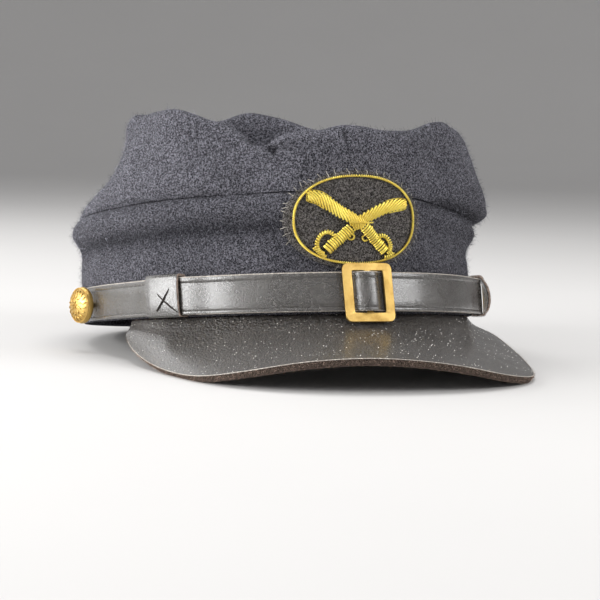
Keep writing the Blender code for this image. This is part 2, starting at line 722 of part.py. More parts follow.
def main():
    clear_scene()
    cap = {"collection": new_collection("forage cap"), "cutters": new_collection("cutters"),
           "rest": rest_empty()}
    floor = floor_cutter(cap)
    build_band(cap, floor)
    build_crown_side(cap)
    build_crown_top(cap)
    build_visor(cap, floor)
    build_straps(cap)
    build_keepers(cap)
    build_slide(cap)
    build_buttons(cap)
    build_badge_cloth(cap)
    build_badge_ring(cap)
    for sabre in SABRES:
        build_sabre(cap, sabre)


main()
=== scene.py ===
"""Looks of a soft wool forage cap of the kepi kind, modelled round its packed frame.

Each operator makes one piece, or one group of like pieces, where its CAD node lies.
Worn frame: +X to the wearer's left, -Y to the front, +Z up, zero height at the chin strap's lower edge.
Angles round the head are in degrees from the front, positive toward the wearer's left.
The resting matrix tips the worn frame onto the table. All sizes are in metres.
"""

import json
import math
import random
from collections import namedtuple

import bmesh
import bpy
from bpy.props import FloatProperty, FloatVectorProperty, IntProperty, PointerProperty
from mathutils import Euler, Matrix, Vector
from mathutils.bvhtree import BVHTree

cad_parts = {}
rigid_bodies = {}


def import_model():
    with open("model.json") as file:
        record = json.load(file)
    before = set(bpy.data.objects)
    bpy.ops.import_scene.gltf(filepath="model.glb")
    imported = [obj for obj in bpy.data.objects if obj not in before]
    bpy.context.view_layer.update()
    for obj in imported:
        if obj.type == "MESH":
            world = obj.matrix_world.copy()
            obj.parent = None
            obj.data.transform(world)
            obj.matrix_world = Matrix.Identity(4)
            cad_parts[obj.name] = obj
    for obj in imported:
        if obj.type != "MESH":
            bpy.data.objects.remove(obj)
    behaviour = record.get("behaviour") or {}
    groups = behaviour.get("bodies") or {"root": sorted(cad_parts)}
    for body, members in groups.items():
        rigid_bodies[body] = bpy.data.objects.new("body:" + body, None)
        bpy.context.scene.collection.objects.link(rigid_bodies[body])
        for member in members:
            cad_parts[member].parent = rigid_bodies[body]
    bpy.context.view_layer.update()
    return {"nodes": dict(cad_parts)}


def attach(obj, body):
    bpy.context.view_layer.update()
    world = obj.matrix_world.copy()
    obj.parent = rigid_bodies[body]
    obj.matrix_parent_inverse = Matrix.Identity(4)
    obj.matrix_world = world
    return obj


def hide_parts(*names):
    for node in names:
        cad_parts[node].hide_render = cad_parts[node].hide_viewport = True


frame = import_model()

bl_info = {
    "name": "Forage cap",
    "version": (1, 0, 0),
    "blender": (4, 5, 0),
    "location": "3D Viewport > Sidebar > Cap",
    "description": "Models the cloth, leather, brass and embroidery of a forage cap",
    "category": "Object",
}

# ---------------------------------------------------------------- sizes shared with the part

GAP = 0.0003
STRAP_LEATHER = 0.0016
KEEPER_LEATHER = 0.0012
SLIDE_BRASS = 0.0012
STRAP_FOOT = 0.0001
STRAP_HEIGHT = 0.0159
STRAP_MIDDLE = STRAP_FOOT + STRAP_HEIGHT / 2
BUTTON_ANGLE = 88.0
BUTTON_RADIUS = 0.0080
BUTTON_DOME = 0.0040
BUTTON_RIM = 0.0012
BUTTON_STAND = 0.0026
BUTTON_TURN = 14.0
STRAP_TAIL = 7.0
LEFT_KEEPER = -54.0
RIGHT_KEEPER = 57.5
KEEPER_SPREAD = 4.8
SLIDE_ANGLE = -0.8
SLIDE_WIDTH = 0.0214
SLIDE_SIDE_BAR = 0.0039
SLIDE_CENTRE_BAR = 0.0024
BADGE_X = -0.0041
BADGE_Z = 0.0367
BADGE_CLOTH_SIZE = (0.0620, 0.0400)
BADGE_CLOTH_THICKNESS = 0.0014
BADGE_RADIUS = 0.0735
BADGE_FRONT = -0.0996
BADGE_PITCH = 0.085
RING_SIZE = (0.0530, 0.0362)
RING_CORD = 0.0006
RING_FULLNESS = 2.25
SABRE_THICKNESS = 0.0010

REST_PITCH = 9.17
REST_ROLL = 0.40
REST_LIFT = 0.01149
REST_SETTLE = 0.0005
REST_FORWARD = 0.0206
REST = (Matrix.Translation((0, REST_FORWARD, REST_LIFT - REST_SETTLE))
        @ Euler((math.radians(-REST_PITCH), math.radians(REST_ROLL), 0)).to_matrix().to_4x4())
TO_WORN = REST.inverted()       # from the table back to the worn frame

Section = namedtuple("Section", "half_width front_y wide_y back_y front_z back_z")
BAND_SECTIONS = [
    Section(0.0835, -0.0990, 0.008, 0.1000, -0.0008, 0.0045),
    Section(0.0836, -0.0968, 0.008, 0.1000, 0.0120, 0.0150),
    Section(0.0842, -0.0940, 0.008, 0.1004, 0.0320, 0.0320),
    Section(0.0850, -0.0940, 0.008, 0.1010, 0.0370, 0.0370),
]
DEGREE = math.radians(1) * BAND_SECTIONS[0].half_width       # metres round the band

SabrePoint = namedtuple("SabrePoint", "across up half_width")
LEFT_SABRE = [
    SabrePoint(-0.0209, 0.0096, 0.0006),
    SabrePoint(-0.0204, 0.0096, 0.0015),
    SabrePoint(-0.0191, 0.0095, 0.0021),
    SabrePoint(-0.0158, 0.0087, 0.0024),
    SabrePoint(-0.0126, 0.0067, 0.0024),
    SabrePoint(-0.0092, 0.0044, 0.0023),
    SabrePoint(-0.0059, 0.0023, 0.0022),
    SabrePoint(-0.0025, 0.0003, 0.0021),
    SabrePoint(0.0005, -0.0015, 0.0020),
    SabrePoint(0.0036, -0.0041, 0.0019),
    SabrePoint(0.0068, -0.0072, 0.0019),
    SabrePoint(0.0098, -0.0102, 0.0019),
    SabrePoint(0.0120, -0.0124, 0.0018),
]
RIGHT_SABRE = [
    SabrePoint(0.0225, 0.0067, 0.0006),
    SabrePoint(0.0219, 0.0067, 0.0015),
    SabrePoint(0.0202, 0.0066, 0.0021),
    SabrePoint(0.0166, 0.0061, 0.0023),
    SabrePoint(0.0127, 0.0050, 0.0022),
    SabrePoint(0.0090, 0.0035, 0.0022),
    SabrePoint(0.0054, 0.0017, 0.0021),
    SabrePoint(0.0018, -0.0002, 0.0020),
    SabrePoint(-0.0008, -0.0019, 0.0020),
    SabrePoint(-0.0042, -0.0048, 0.0019),
    SabrePoint(-0.0075, -0.0076, 0.0019),
    SabrePoint(-0.0106, -0.0102, 0.0019),
    SabrePoint(-0.0124, -0.0120, 0.0018),
]
CROSSING_ROW = 7.9
CROSSING_REACH = 1.1
CROSSING_SLOPE = 1.4
Sabre = namedtuple("Sabre", "name shape lift slant guard curl knot")
SABRES = [
    Sabre("sabre_left", LEFT_SABRE, SABRE_THICKNESS + GAP, -1.5,
          [(0.0077, -0.0076), (0.0096, -0.0064), (0.0119, -0.0065), (0.0136, -0.0080), (0.0145, -0.0100),
           (0.0143, -0.0119), (0.0135, -0.0136)],
          [(0.0049, -0.0053), (0.0035, -0.0060), (0.0023, -0.0067), (0.0022, -0.0078), (0.0031, -0.0085),
           (0.0044, -0.0081)],
          [(0.0116, -0.0150), (0.0132, -0.0148), (0.0146, -0.0140), (0.0156, -0.0130)]),
    Sabre("sabre_right", RIGHT_SABRE, 0.0, 2.0,
          [(-0.0090, -0.0070), (-0.0107, -0.0055), (-0.0126, -0.0050), (-0.0146, -0.0058), (-0.0160, -0.0076),
           (-0.0166, -0.0097), (-0.0162, -0.0117), (-0.0150, -0.0131), (-0.0139, -0.0137)],
          [(-0.0053, -0.0054), (-0.0045, -0.0070), (-0.0031, -0.0080), (-0.0017, -0.0077), (-0.0014, -0.0065),
           (-0.0023, -0.0057)],
          [(-0.0178, -0.0112), (-0.0164, -0.0126), (-0.0148, -0.0140), (-0.0132, -0.0149)]),
]
TIE = [(-0.0040, -0.0015), (-0.0016, -0.0014), (0.0006, -0.0014), (0.0029, -0.0016), (0.0054, -0.0014)]

# ---------------------------------------------------------------- soft shapes that the photograph shows

Fold = namedtuple("Fold", "name start end width push lift")
CREASE = Fold("crease", (-0.0415, -0.0790, 0.0745), (-0.0345, -0.0885, 0.0665), 0.0020, -0.0040, 0.0)
FOLDS = [               # worn frame: a fold runs from start to end, pushed outward and lifted
    CREASE,
    Fold("lip over crease", (-0.0365, -0.0830, 0.0765), (-0.0290, -0.0910, 0.0700), 0.0032, 0.0018, 0.0),
    Fold("dip in front rim", (-0.0378, -0.0790, 0.0715), (-0.0350, -0.0820, 0.0715), 0.0064, 0.0, -0.0060),
    Fold("rim left of dip", (-0.0490, -0.0710, 0.0770), (-0.0445, -0.0750, 0.0750), 0.0060, 0.0, 0.0014),
    Fold("rim beside dip", (-0.0250, -0.0890, 0.0755), (-0.0180, -0.0920, 0.0760), 0.0075, 0.0, -0.0024),
    Fold("hump in front rim", (-0.0080, -0.0960, 0.0745), (0.0000, -0.0970, 0.0745), 0.0090, 0.0, 0.0006),
    Fold("slack front rim", (0.0120, -0.0960, 0.0735), (0.0220, -0.0930, 0.0735), 0.0090, 0.0, -0.0014),
    Fold("right peak", (0.0400, -0.0830, 0.0780), (0.0440, -0.0780, 0.0780), 0.0085, 0.0, 0.0022),
    Fold("right corner", (0.0580, -0.0640, 0.0815), (0.0660, -0.0610, 0.0740), 0.0090, -0.0030, -0.0014),
    Fold("right cheek", (0.0700, -0.0600, 0.0500), (0.0760, -0.0500, 0.0470), 0.0080, 0.0008, 0.0),
    Fold("right overhang", (0.0820, -0.0370, 0.0455), (0.0860, -0.0200, 0.0450), 0.0050, 0.0026, 0.0),
    Fold("left overhang", (-0.0835, 0.0100, 0.0500), (-0.0830, 0.0450, 0.0500), 0.0060, 0.0004, 0.0),
    Fold("left waist", (-0.0660, 0.0270, 0.0720), (-0.0810, 0.0310, 0.0550), 0.0100, -0.0029, 0.0),
    Fold("left corner", (-0.0730, -0.0200, 0.0860), (-0.0690, -0.0380, 0.0880), 0.0100, -0.0028, -0.0010),
    Fold("left side", (-0.0720, 0.0060, 0.0880), (-0.0800, 0.0100, 0.0600), 0.0170, -0.0036, 0.0),
    Fold("far rim on the left", (-0.0330, 0.0430, 0.1010), (-0.0120, 0.0470, 0.1020), 0.0125, 0.0, -0.0048),
    Fold("far rim's hump", (0.0080, 0.0480, 0.1010), (0.0220, 0.0450, 0.0980), 0.0100, 0.0, 0.0018),
    Fold("far rim on the right", (0.0580, 0.0200, 0.0930), (0.0680, 0.0000, 0.0910), 0.0120, 0.0, -0.0018),
    Fold("hollow below crease", (-0.0350, -0.0890, 0.0600), (-0.0440, -0.0800, 0.0530), 0.0070, -0.0018, 0.0),
    Fold("long soft fold", (-0.0600, -0.0640, 0.0740), (-0.0520, -0.0720, 0.0540), 0.0060, -0.0012, 0.0),
    Fold("right hollow", (0.0380, -0.0870, 0.0700), (0.0340, -0.0900, 0.0540), 0.0080, -0.0016, 0.0),
    Fold("dart", (-0.0085, -0.0988, 0.0740), (-0.0056, -0.0984, 0.0575), 0.0008, -0.0018, 0.0),
    Fold("back fold", (0.0200, 0.0560, 0.0930), (0.0420, 0.0700, 0.0600), 0.0080, -0.0024, 0.0),
    Fold("side fold", (-0.0760, 0.0400, 0.0860), (-0.0830, 0.0530, 0.0560), 0.0080, -0.0020, 0.0),
]
SEAM_HEIGHT = 0.0472
SEAM_SAG = -0.0055
SEAM_SAG_ANGLE = 78.0
SEAM_SAG_SPREAD = 38.0
SeamRow = namedtuple("SeamRow", "above width push")
SEAM_PROFILE = [
    SeamRow(-0.0058, 0.0042, 0.0014),
    SeamRow(-0.0150, 0.0042, -0.0008),
    SeamRow(0.0001, 0.0014, -0.0013),
    SeamRow(0.0080, 0.0060, 0.0009),
]
SEAM_RISE = 0.00035             # how much higher than the part's the seam lies at the front
SEAM_SIDE_RISE = 0.0017         # added at negative angles and taken off at positive ones
SEAM_TURN = 30.0                # degrees in which the one becomes the other
SEAM_SHIFT_WIDTH = 0.013
SEAM_CLOSING = 0.00012
SEAM_CLOSING_WIDTH = 0.0015
FOLDS_BEGIN = (-0.001, 0.005)   # heights above the seam between which the folds come in
FINE_FOLD = 0.0022              # a fold narrower than this needs a finer mesh round it
FINE_REACH = 0.0045
CLOUD_STEP = (0.37, 0.11, 0.23)     # how far apart two seeds look at the clouds that cloth wanders by

# Painted shade: how much darker the wool's colour is painted under the roll, along the seam, at the sides and
# in the crease.
Shadow = namedtuple("Shadow", "depth above width")
ROLL_SHADOW = Shadow(0.62, -0.0128, 0.0034)
ROLL_SHADOW_ANGLES = ((-150, -100), (-5, 18))       # comes in over the first two and fades over the last
SEAM_SHADOW = Shadow(0.16, 0.0, 0.0016)
SIDE_SHADOW = Shadow(0.50, -0.0008, 0.0012)         # added to the seam's shadow at these angles
SIDE_SHADOW_ANGLES = ((12, 32), (100, 120))
CREASE_SHADOW = Shadow(0.6, 0.001, 0.0016)

BADGE_CLEARANCE = 0.0004
BADGE_PRESS = (0.85, 1.85)      # pushed wool ends between these reaches, where one is the badge's edge
BADGE_PRESS_FOOT = (0.0162, 0.0230)                 # and begins between these heights
BADGE_DEPTH = 0.012             # only wool that lies no deeper behind the badge is pushed
SEARCH_FROM = 0.015             # a surface is looked for from this far outside the badge
SEARCH_LENGTH = 0.040

# ---------------------------------------------------------------- the photograph's camera

FRAME_PIXELS = 600
SENSOR = 36.0
FOCAL_PIXELS = 2137.5
CAMERA_AZIMUTH = -22.0
CAMERA_ELEVATION = -3.5
CAMERA_ROLL = -1.5
CAMERA_DISTANCE = 0.950
CAMERA_AIM = (0.0097, 0.0107)     # across and up from the worn frame's origin


# ---------------------------------------------------------------- settings that a user may change

class ClothSettings(bpy.types.PropertyGroup):
    """Wool of the cap and of its badge."""
    wool: FloatVectorProperty(name="Wool", description="Colour of the dyed wool", subtype="COLOR",
                              size=3, min=0, max=1, default=(0.004, 0.004, 0.007))
    fleck: FloatVectorProperty(name="Fleck", description="Colour of the paler fibres", subtype="COLOR",
                               size=3, min=0, max=1, default=(0.340, 0.336, 0.386))
    badge_wool: FloatVectorProperty(name="Badge wool", description="Colour of the badge's wool",
                                    subtype="COLOR", size=3, min=0, max=1, default=(0.010, 0.009, 0.008))
    nap_density: FloatProperty(name="Nap density", description="Loose fibres on each square metre of cloth",
                               default=340000.0, min=0)
    nap_length: FloatProperty(name="Nap length", description="Length of a loose fibre", unit="LENGTH",
                              default=0.0021, min=0.0002)
    stray_density: FloatProperty(name="Stray hairs", description="Long hairs on each square metre of cloth",
                                 default=5000.0, min=0)
    unevenness: FloatProperty(name="Unevenness", description="How far handled cloth wanders from smooth",
                              unit="LENGTH", default=0.0011, min=0)
    whip: FloatVectorProperty(name="Whip stitches", description="Colour of the thread round the badge",
                              subtype="COLOR", size=3, min=0, max=1, default=(0.36, 0.34, 0.30))


class LeatherSettings(bpy.types.PropertyGroup):
    """Black leather of the visor, straps and keepers."""
    black: FloatVectorProperty(name="Black", description="Colour of the dyed grain side", subtype="COLOR",
                               size=3, min=0, max=1, default=(0.019, 0.0155, 0.0122))
    visor_tops: FloatVectorProperty(name="Visor grain", description="Colour of the tops of the visor's grain",
                                    subtype="COLOR", size=3, min=0, max=1, default=(0.062, 0.047, 0.033))
    raw: FloatVectorProperty(name="Raw edge", description="Colour of undyed leather at a cut edge",
                             subtype="COLOR", size=3, min=0, max=1, default=(0.080, 0.058, 0.046))
    # Pale edge colours: partly rubbed wear, partly painted highlights on the visor's arris bead and along the
    # straps' edges.
    rubbed: FloatVectorProperty(name="Rubbed edge", description="Colour of an edge rubbed pale",
                                subtype="COLOR", size=3, min=0, max=1, default=(0.34, 0.30, 0.26))
    rubbed_highlight_tops: FloatVectorProperty(name="Rubbed grain", description="Colour of that edge's paler grain",
                                     subtype="COLOR", size=3, min=0, max=1, default=(0.74, 0.68, 0.60))
    stitch: FloatVectorProperty(name="Cross stitch", description="Colour of the thread on the left keeper",
                                subtype="COLOR", size=3, min=0, max=1, default=(0.022, 0.018, 0.016))
    # Pale bead on the visor's upper arris: partly rubbed wear, partly a painted highlight.
    rubbed_arris_highlight: FloatProperty(name="Burr", description="Radius of the pale line along the visor's upper arris",
                        default=0.00019, min=0.00005, unit="LENGTH")
    rim_fibres: FloatProperty(name="Rim fibres", description="Fibres per square metre on the visor's raw rim",
                              default=2400000.0, min=0)
    lint: FloatProperty(name="Lint", description="Grains of dust on each square metre of the visor",
                        default=45000.0, min=0)
    lint_colour: FloatVectorProperty(name="Lint colour", description="Colour of the dust", subtype="COLOR",
                                     size=3, min=0, max=1, default=(0.80, 0.77, 0.70))
    crease_inset: FloatProperty(name="Crease inset", description="Distance of the crease from a strap's edge",
                                unit="LENGTH", default=0.0024, min=0.0005)
    crease_depth: FloatProperty(name="Crease depth", description="Depth of the pressed crease line",
                                unit="LENGTH", default=0.00022, min=0)


class MetalSettings(bpy.types.PropertyGroup):
    """Brass and gold wire."""
    brass: FloatVectorProperty(name="Brass", description="Colour of the slide and buttons", subtype="COLOR",
                               size=3, min=0, max=1, default=(0.52, 0.350, 0.112))
    gold: FloatVectorProperty(name="Gold", description="Colour of the gilt wire", subtype="COLOR",
                              size=3, min=0, max=1, default=(0.95, 0.78, 0.15))
    strand: FloatProperty(name="Strand", description="Thickness of a bullion strand", unit="LENGTH",
                          default=0.00098, min=0.0002)
    wire: FloatProperty(name="Wire", description="Thickness of the outlining wire", unit="LENGTH",
                        default=0.00042, min=0.0001)


class StageSettings(bpy.types.PropertyGroup):
    """Floor and lights."""
    floor: FloatVectorProperty(name="Floor", description="Colour of the floor", subtype="COLOR",
                               size=3, min=0, max=1, default=(0.62, 0.61, 0.60))
    lights: FloatProperty(name="Lights", description="Strength of all the softboxes together",
                          default=1.0, min=0)
    seed: IntProperty(name="Seed", description="Start of every scatter", default=7)


# ---------------------------------------------------------------- places on the worn cap

def smooth(before, start, end, after, part):
    """Place between start and end on a smooth curve that also heeds what lies before and after them."""
    slope = (end - before) / 2
    next_slope = (after - start) / 2
    bend = 3 * (end - start) - 2 * slope - next_slope
    twist = 2 * (start - end) + slope + next_slope
    return start + part * (slope + part * (bend + part * twist))


def row_at(table, place):
    """Row of numbers at a fractional place in a table, blended through its neighbours."""
    last = len(table) - 1
    index = max(0, min(int(place), last - 1))
    rows = [table[max(0, min(last, index + step))] for step in (-1, 0, 1, 2)]
    return type(table[0])(*[smooth(*column, place - index) for column in zip(*rows)])


def band_section(height):
    """Outline of the band at a height behind the chin strap."""
    for index, (row, following) in enumerate(zip(BAND_SECTIONS, BAND_SECTIONS[1:])):
        if height <= following.front_z:
            share = (height - row.front_z) / (following.front_z - row.front_z)
            return row_at(BAND_SECTIONS, index + share)
    return BAND_SECTIONS[-1]


def half_depth(section, turn):
    """Depth of the front or back half of an egg-shaped outline."""
    return section.wide_y - section.front_y if math.cos(turn) > 0 else section.back_y - section.wide_y


def outward(section, angle):
    turn = math.radians(angle)
    depth = half_depth(section, turn)
    return Vector((depth * math.sin(turn), -section.half_width * math.cos(turn), 0)).normalized()


def on_band(angle, height, offset):
    """Point at a height on the band, outside its cloth by the offset."""
    section = band_section(height)
    turn = math.radians(angle)
    y = section.wide_y - half_depth(section, turn) * math.cos(turn)
    along = (y - section.front_y) / (section.back_y - section.front_y)
    z = section.front_z + along * (section.back_z - section.front_z)
    return Vector((section.half_width * math.sin(turn), y, z)) + offset * outward(section, angle)


def ease(value, start, end):
    """Zero before the start and one after the end, smoothly."""
    part = min(1, max(0, (value - start) / (end - start)))
    return part * part * (3 - 2 * part)


def bump(value, middle, half_width, slope):
    """One within half_width of the middle, falling smoothly to zero over the slope."""
    return ease(half_width + slope - abs(value - middle), 0, slope)


def bell(distance, width):
    """One at no distance, falling away smoothly over the width."""
    return math.exp(-(distance / width) ** 2)


def between(value, ramps):
    """Rises from zero to one over the first ramp, and falls back over the second."""
    return ease(value, *ramps[0]) * (1 - ease(value, *ramps[1]))


def on_badge(across, up, offset):
    """Point on the badge, measured along its bent face from its middle."""
    turn = (BADGE_X + across) / BADGE_RADIUS
    radius = BADGE_RADIUS + offset
    front = BADGE_FRONT - BADGE_PITCH * up
    return Vector((radius * math.sin(turn), front + BADGE_RADIUS - radius * math.cos(turn), BADGE_Z + up))


def button_matrix(side):
    """Middle of a side button's back: Z points out of the button, swung toward the front."""
    angle = side * BUTTON_ANGLE
    seat = on_band(angle, STRAP_MIDDLE, GAP + STRAP_LEATHER + BUTTON_STAND)
    axis = outward(BAND_SECTIONS[1], angle)
    axis.rotate(Euler((0, 0, math.radians(-side * BUTTON_TURN))))
    return Matrix.Translation(seat) @ axis.to_track_quat("Z", "Y").to_matrix().to_4x4()


def seam_sag(angle):
    """Droop of the crown seam at an angle round the head."""
    return SEAM_SAG * bell((angle - SEAM_SAG_ANGLE + 180) % 360 - 180, SEAM_SAG_SPREAD)


def seam_shift(angle):
    """How much higher than the part's seam the photograph shows it."""
    return (SEAM_RISE - SEAM_SIDE_RISE * math.tanh(angle / SEAM_TURN)) * math.cos(math.radians(angle) / 2)


def badge_place(point):
    """Across, up and offset on the badge of a point in the worn frame."""
    up = point.z - BADGE_Z
    depth = BADGE_FRONT - BADGE_PITCH * up + BADGE_RADIUS - point.y
    return math.atan2(point.x, depth) * BADGE_RADIUS - BADGE_X, up, math.hypot(point.x, depth) - BADGE_RADIUS


def badge_reach(across, up):
    """How far out on the badge's cloth a place is: one at its cut edge."""
    return math.hypot(2 * across / BADGE_CLOTH_SIZE[0], 2 * up / BADGE_CLOTH_SIZE[1])


# ---------------------------------------------------------------- modelling helpers

def new_object(name, data):
    """Object that holds the data, linked to the scene."""
    made = bpy.data.objects.new(name, data)
    bpy.context.scene.collection.objects.link(made)
    return made


def activate(piece):
    """Leave one object selected and active."""
    bpy.ops.object.select_all(action="DESELECT")
    piece.select_set(True)
    bpy.context.view_layer.objects.active = piece


def apply_modifiers(piece):
    activate(piece)
    for modifier in list(piece.modifiers):
        bpy.ops.object.modifier_apply(modifier=modifier.name)
    return piece


def subdivide_smoothly(piece, levels):
    division = piece.modifiers.new("Subdivision", "SUBSURF")
    division.levels = division.render_levels = levels
    return apply_modifiers(piece)


def bevel_edges(piece, width, angle):
    bevel = piece.modifiers.new("Bevel", "BEVEL")
    bevel.width = width
    bevel.segments = 2
    bevel.limit_method = "ANGLE"
    bevel.angle_limit = math.radians(angle)
    apply_modifiers(piece)


def shade(piece, angle):
    activate(piece)
    bpy.ops.object.shade_smooth_by_angle(angle=math.radians(angle))
    return piece


def finish(piece, materials, nodes=(), worn=True):
    """Place a finished piece, give it its materials, and hang it on the cap."""
    if len(materials) == 1:
        piece.data.polygons.foreach_set("material_index", [0] * len(piece.data.polygons))
    if worn:
        piece.data.transform(REST)
    if not piece.data.materials:
        for material in materials:
            piece.data.materials.append(material)
    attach(piece, "root")
    if nodes:
        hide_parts(*nodes)


def quad_copy(node, name, crease):
    """Quad mesh of a CAD node, welded, with its hard edges creased and its broad outer side marked."""
    piece = new_object(name, frame["nodes"][node].data.copy())
    piece.data.materials.clear()
    activate(piece)
    bpy.ops.mesh.customdata_custom_splitnormals_clear()
    bpy.ops.object.mode_set(mode="EDIT")
    bpy.ops.mesh.select_all(action="SELECT")
    bpy.ops.mesh.remove_doubles(threshold=0.000002)
    bpy.ops.mesh.tris_convert_to_quads()
    bpy.ops.object.mode_set(mode="OBJECT")
    mark_sides(piece, crease)
    return piece


HARD_EDGE = 45      # degrees between the faces of an edge that is creased


def mark_sides(piece, crease):
    """Crease the hard edges. Mark the broadest side's faces as outside, and the narrow cut edges as rim."""
    bm = bmesh.new()
    bm.from_mesh(piece.data)
    creases = bm.edges.layers.float.new("crease_edge")
    outside = bm.faces.layers.float.new("outside")
    for edge in bm.edges:
        if edge.is_manifold and edge.calc_face_angle() > math.radians(HARD_EDGE):
            edge[creases] = crease
    sides = []
    waiting = set(bm.faces)
    while waiting:
        face = waiting.pop()
        side, front = [face], [face]
        while front:
            for edge in front.pop().edges:
                if not edge[creases]:
                    reached = [other for other in edge.link_faces if other in waiting]
                    waiting.difference_update(reached)
                    side += reached
                    front += reached
        sides.append(side)
    sides.sort(key=lambda side: -sum(face.calc_area() for face in side))
    for rank, side in enumerate(sides):
        for face in side:
            face[outside] = rank == 0
            face.material_index = rank > 1
    bm.to_mesh(piece.data)
    bm.free()


def wires(name, paths, radius, ridges=0.0, sides=1, closed=False, taper=None):
    """Mesh of wires that follow the paths: tapered, or ringed like purl where ridges is above zero."""
    curve = bpy.data.curves.new(name, "CURVE")
    curve.dimensions = "3D"
    curve.bevel_depth = radius
    curve.bevel_resolution = sides
    curve.use_fill_caps = not closed
    for path in paths:
        spline = curve.splines.new("POLY")
        spline.points.add(len(path) - 1)
        spline.use_cyclic_u = closed
        for index, (point, place) in enumerate(zip(spline.points, path)):
            point.co = (*place, 1)
            point.radius = taper[index] if taper else 1 - ridges * (index % 2)
    activate(new_object(name, curve))
    bpy.ops.object.convert(target="MESH")
    return shade(bpy.context.object, 60)


def rolled_grid(name, rows, closed=False):
    """Closed skin through rows of points: a grid rolled into a tube, its seams merged and its ends filled."""
    lines = rows + rows[:1] if closed else rows
    across = len(rows[0])
    bpy.ops.object.select_all(action="DESELECT")
    bpy.ops.mesh.primitive_grid_add(x_subdivisions=across, y_subdivisions=len(lines) - 1, size=1)
    piece = bpy.context.object
    piece.name = piece.data.name = name
    for line, row in enumerate(lines):
        for column in range(across + 1):
            piece.data.vertices[line * (across + 1) + column].co = row[column % across]
    bpy.ops.object.mode_set(mode="EDIT")
    bpy.ops.mesh.select_all(action="SELECT")
    bpy.ops.mesh.remove_doubles(threshold=0.0000001)
    if not closed:
        bpy.ops.mesh.select_mode(type="EDGE")
        bpy.ops.mesh.select_all(action="DESELECT")
        bpy.ops.mesh.select_non_manifold(extend=False)
        bpy.ops.mesh.edge_face_add()
    bpy.ops.mesh.select_all(action="SELECT")
    bpy.ops.mesh.normals_make_consistent(inside=False)
    bpy.ops.object.mode_set(mode="OBJECT")
    return piece


def joined(name, pieces):
    """One object made of several."""
    bpy.ops.object.select_all(action="DESELECT")
    for piece in pieces:
        piece.select_set(True)
    bpy.context.view_layer.objects.active = pieces[0]
    bpy.ops.object.join()
    pieces[0].name = pieces[0].data.name = name
    return pieces[0]


def surface_of(*pieces):
    """Search tree of the pieces' faces."""
    points, faces = [], []
    for piece in pieces:
        faces += [[len(points) + index for index in face.vertices] for face in piece.data.polygons]
        points += [vertex.co.copy() for vertex in piece.data.vertices]
    return BVHTree.FromPolygons(points, faces)


def offset_on_badge(surface, across, up):
    """Offset from the badge's face, inward or outward, at which a surface lies there."""
    start = REST @ on_badge(across, up, SEARCH_FROM)
    inward = (REST @ on_badge(across, up, 0.0) - start).normalized()
    hit = surface.ray_cast(start, inward, SEARCH_LENGTH)
    return SEARCH_FROM - hit[3] if hit[0] else None


def worn_shape(piece, move):
    """Shape a piece's mesh by a function that takes and returns a point in the worn frame."""
    for vertex in piece.data.vertices:
        vertex.co = REST @ move(TO_WORN @ vertex.co)


def distance_from(fold, point):
    """Distance from a point to the line of a fold."""
    start, end = Vector(fold.start), Vector(fold.end)
    along = end - start
    share = min(1, max(0, (point - start).dot(along) / along.length_squared))
    return (point - start - share * along).length


def round_the_head(point):
    """Angle of a point round the head and its height above the crown seam."""
    section = BAND_SECTIONS[-1]
    depth = half_depth(section, 0.0 if point.y < section.wide_y else math.pi)
    angle = math.degrees(math.atan2(point.x / section.half_width, (section.wide_y - point.y) / depth))
    return angle, point.z - SEAM_HEIGHT - seam_sag(angle)


def handled(point):
    """Cloth of the cap pushed into the seam's roll and groove, and into the folds of its crown."""
    angle, above = round_the_head(point)
    push = sum(row.push * bell(above - row.above, row.width) for row in SEAM_PROFILE)
    lift = -math.copysign(SEAM_CLOSING * bell(above, SEAM_CLOSING_WIDTH), above)
    lift += seam_shift(angle) * bell(above, SEAM_SHIFT_WIDTH)
    if above > 0:
        held = ease(above, *FOLDS_BEGIN)
        for fold in FOLDS:
            weight = held * bell(distance_from(fold, point), fold.width)
            push += weight * fold.push
            lift += weight * fold.lift
    return point + push * outward(BAND_SECTIONS[-1], angle) + Vector((0, 0, lift))


def mark_shadows(piece):
    """Mark on a cloth's mesh how much shade is painted into its colour: under the roll, along the seam and in
    the crease.
    """
    marks = piece.data.attributes.new("pressed", "FLOAT", "POINT")
    for index, vertex in enumerate(piece.data.vertices):
        point = TO_WORN @ vertex.co
        angle, above = round_the_head(point)
        dark = ROLL_SHADOW.depth * between(angle, ROLL_SHADOW_ANGLES)
        dark *= bell(above - ROLL_SHADOW.above, ROLL_SHADOW.width)
        side = between(angle, SIDE_SHADOW_ANGLES)
        depth, middle, width = (first + side * more for first, more in zip(SEAM_SHADOW, SIDE_SHADOW))
        dark += depth * bell(above - middle, width)
        if above > CREASE_SHADOW.above:
            dark += CREASE_SHADOW.depth * bell(distance_from(CREASE, point), CREASE_SHADOW.width)
        marks.data[index].value = min(1.0, dark)


def refine(piece, near, cuts):
    """Cut the faces that lie near the narrow folds into smaller ones."""
    narrow = [fold for fold in FOLDS if fold.width < FINE_FOLD]
    activate(piece)
    for face in piece.data.polygons:
        centre = TO_WORN @ face.center
        face.select = any(distance_from(fold, centre) < near for fold in narrow)
    for item in (*piece.data.edges, *piece.data.vertices):
        item.select = False
    bpy.ops.object.mode_set(mode="EDIT")
    bpy.ops.mesh.select_mode(type="FACE")
    bpy.ops.mesh.subdivide(number_cuts=cuts, smoothness=0.0)
    bpy.ops.object.mode_set(mode="OBJECT")


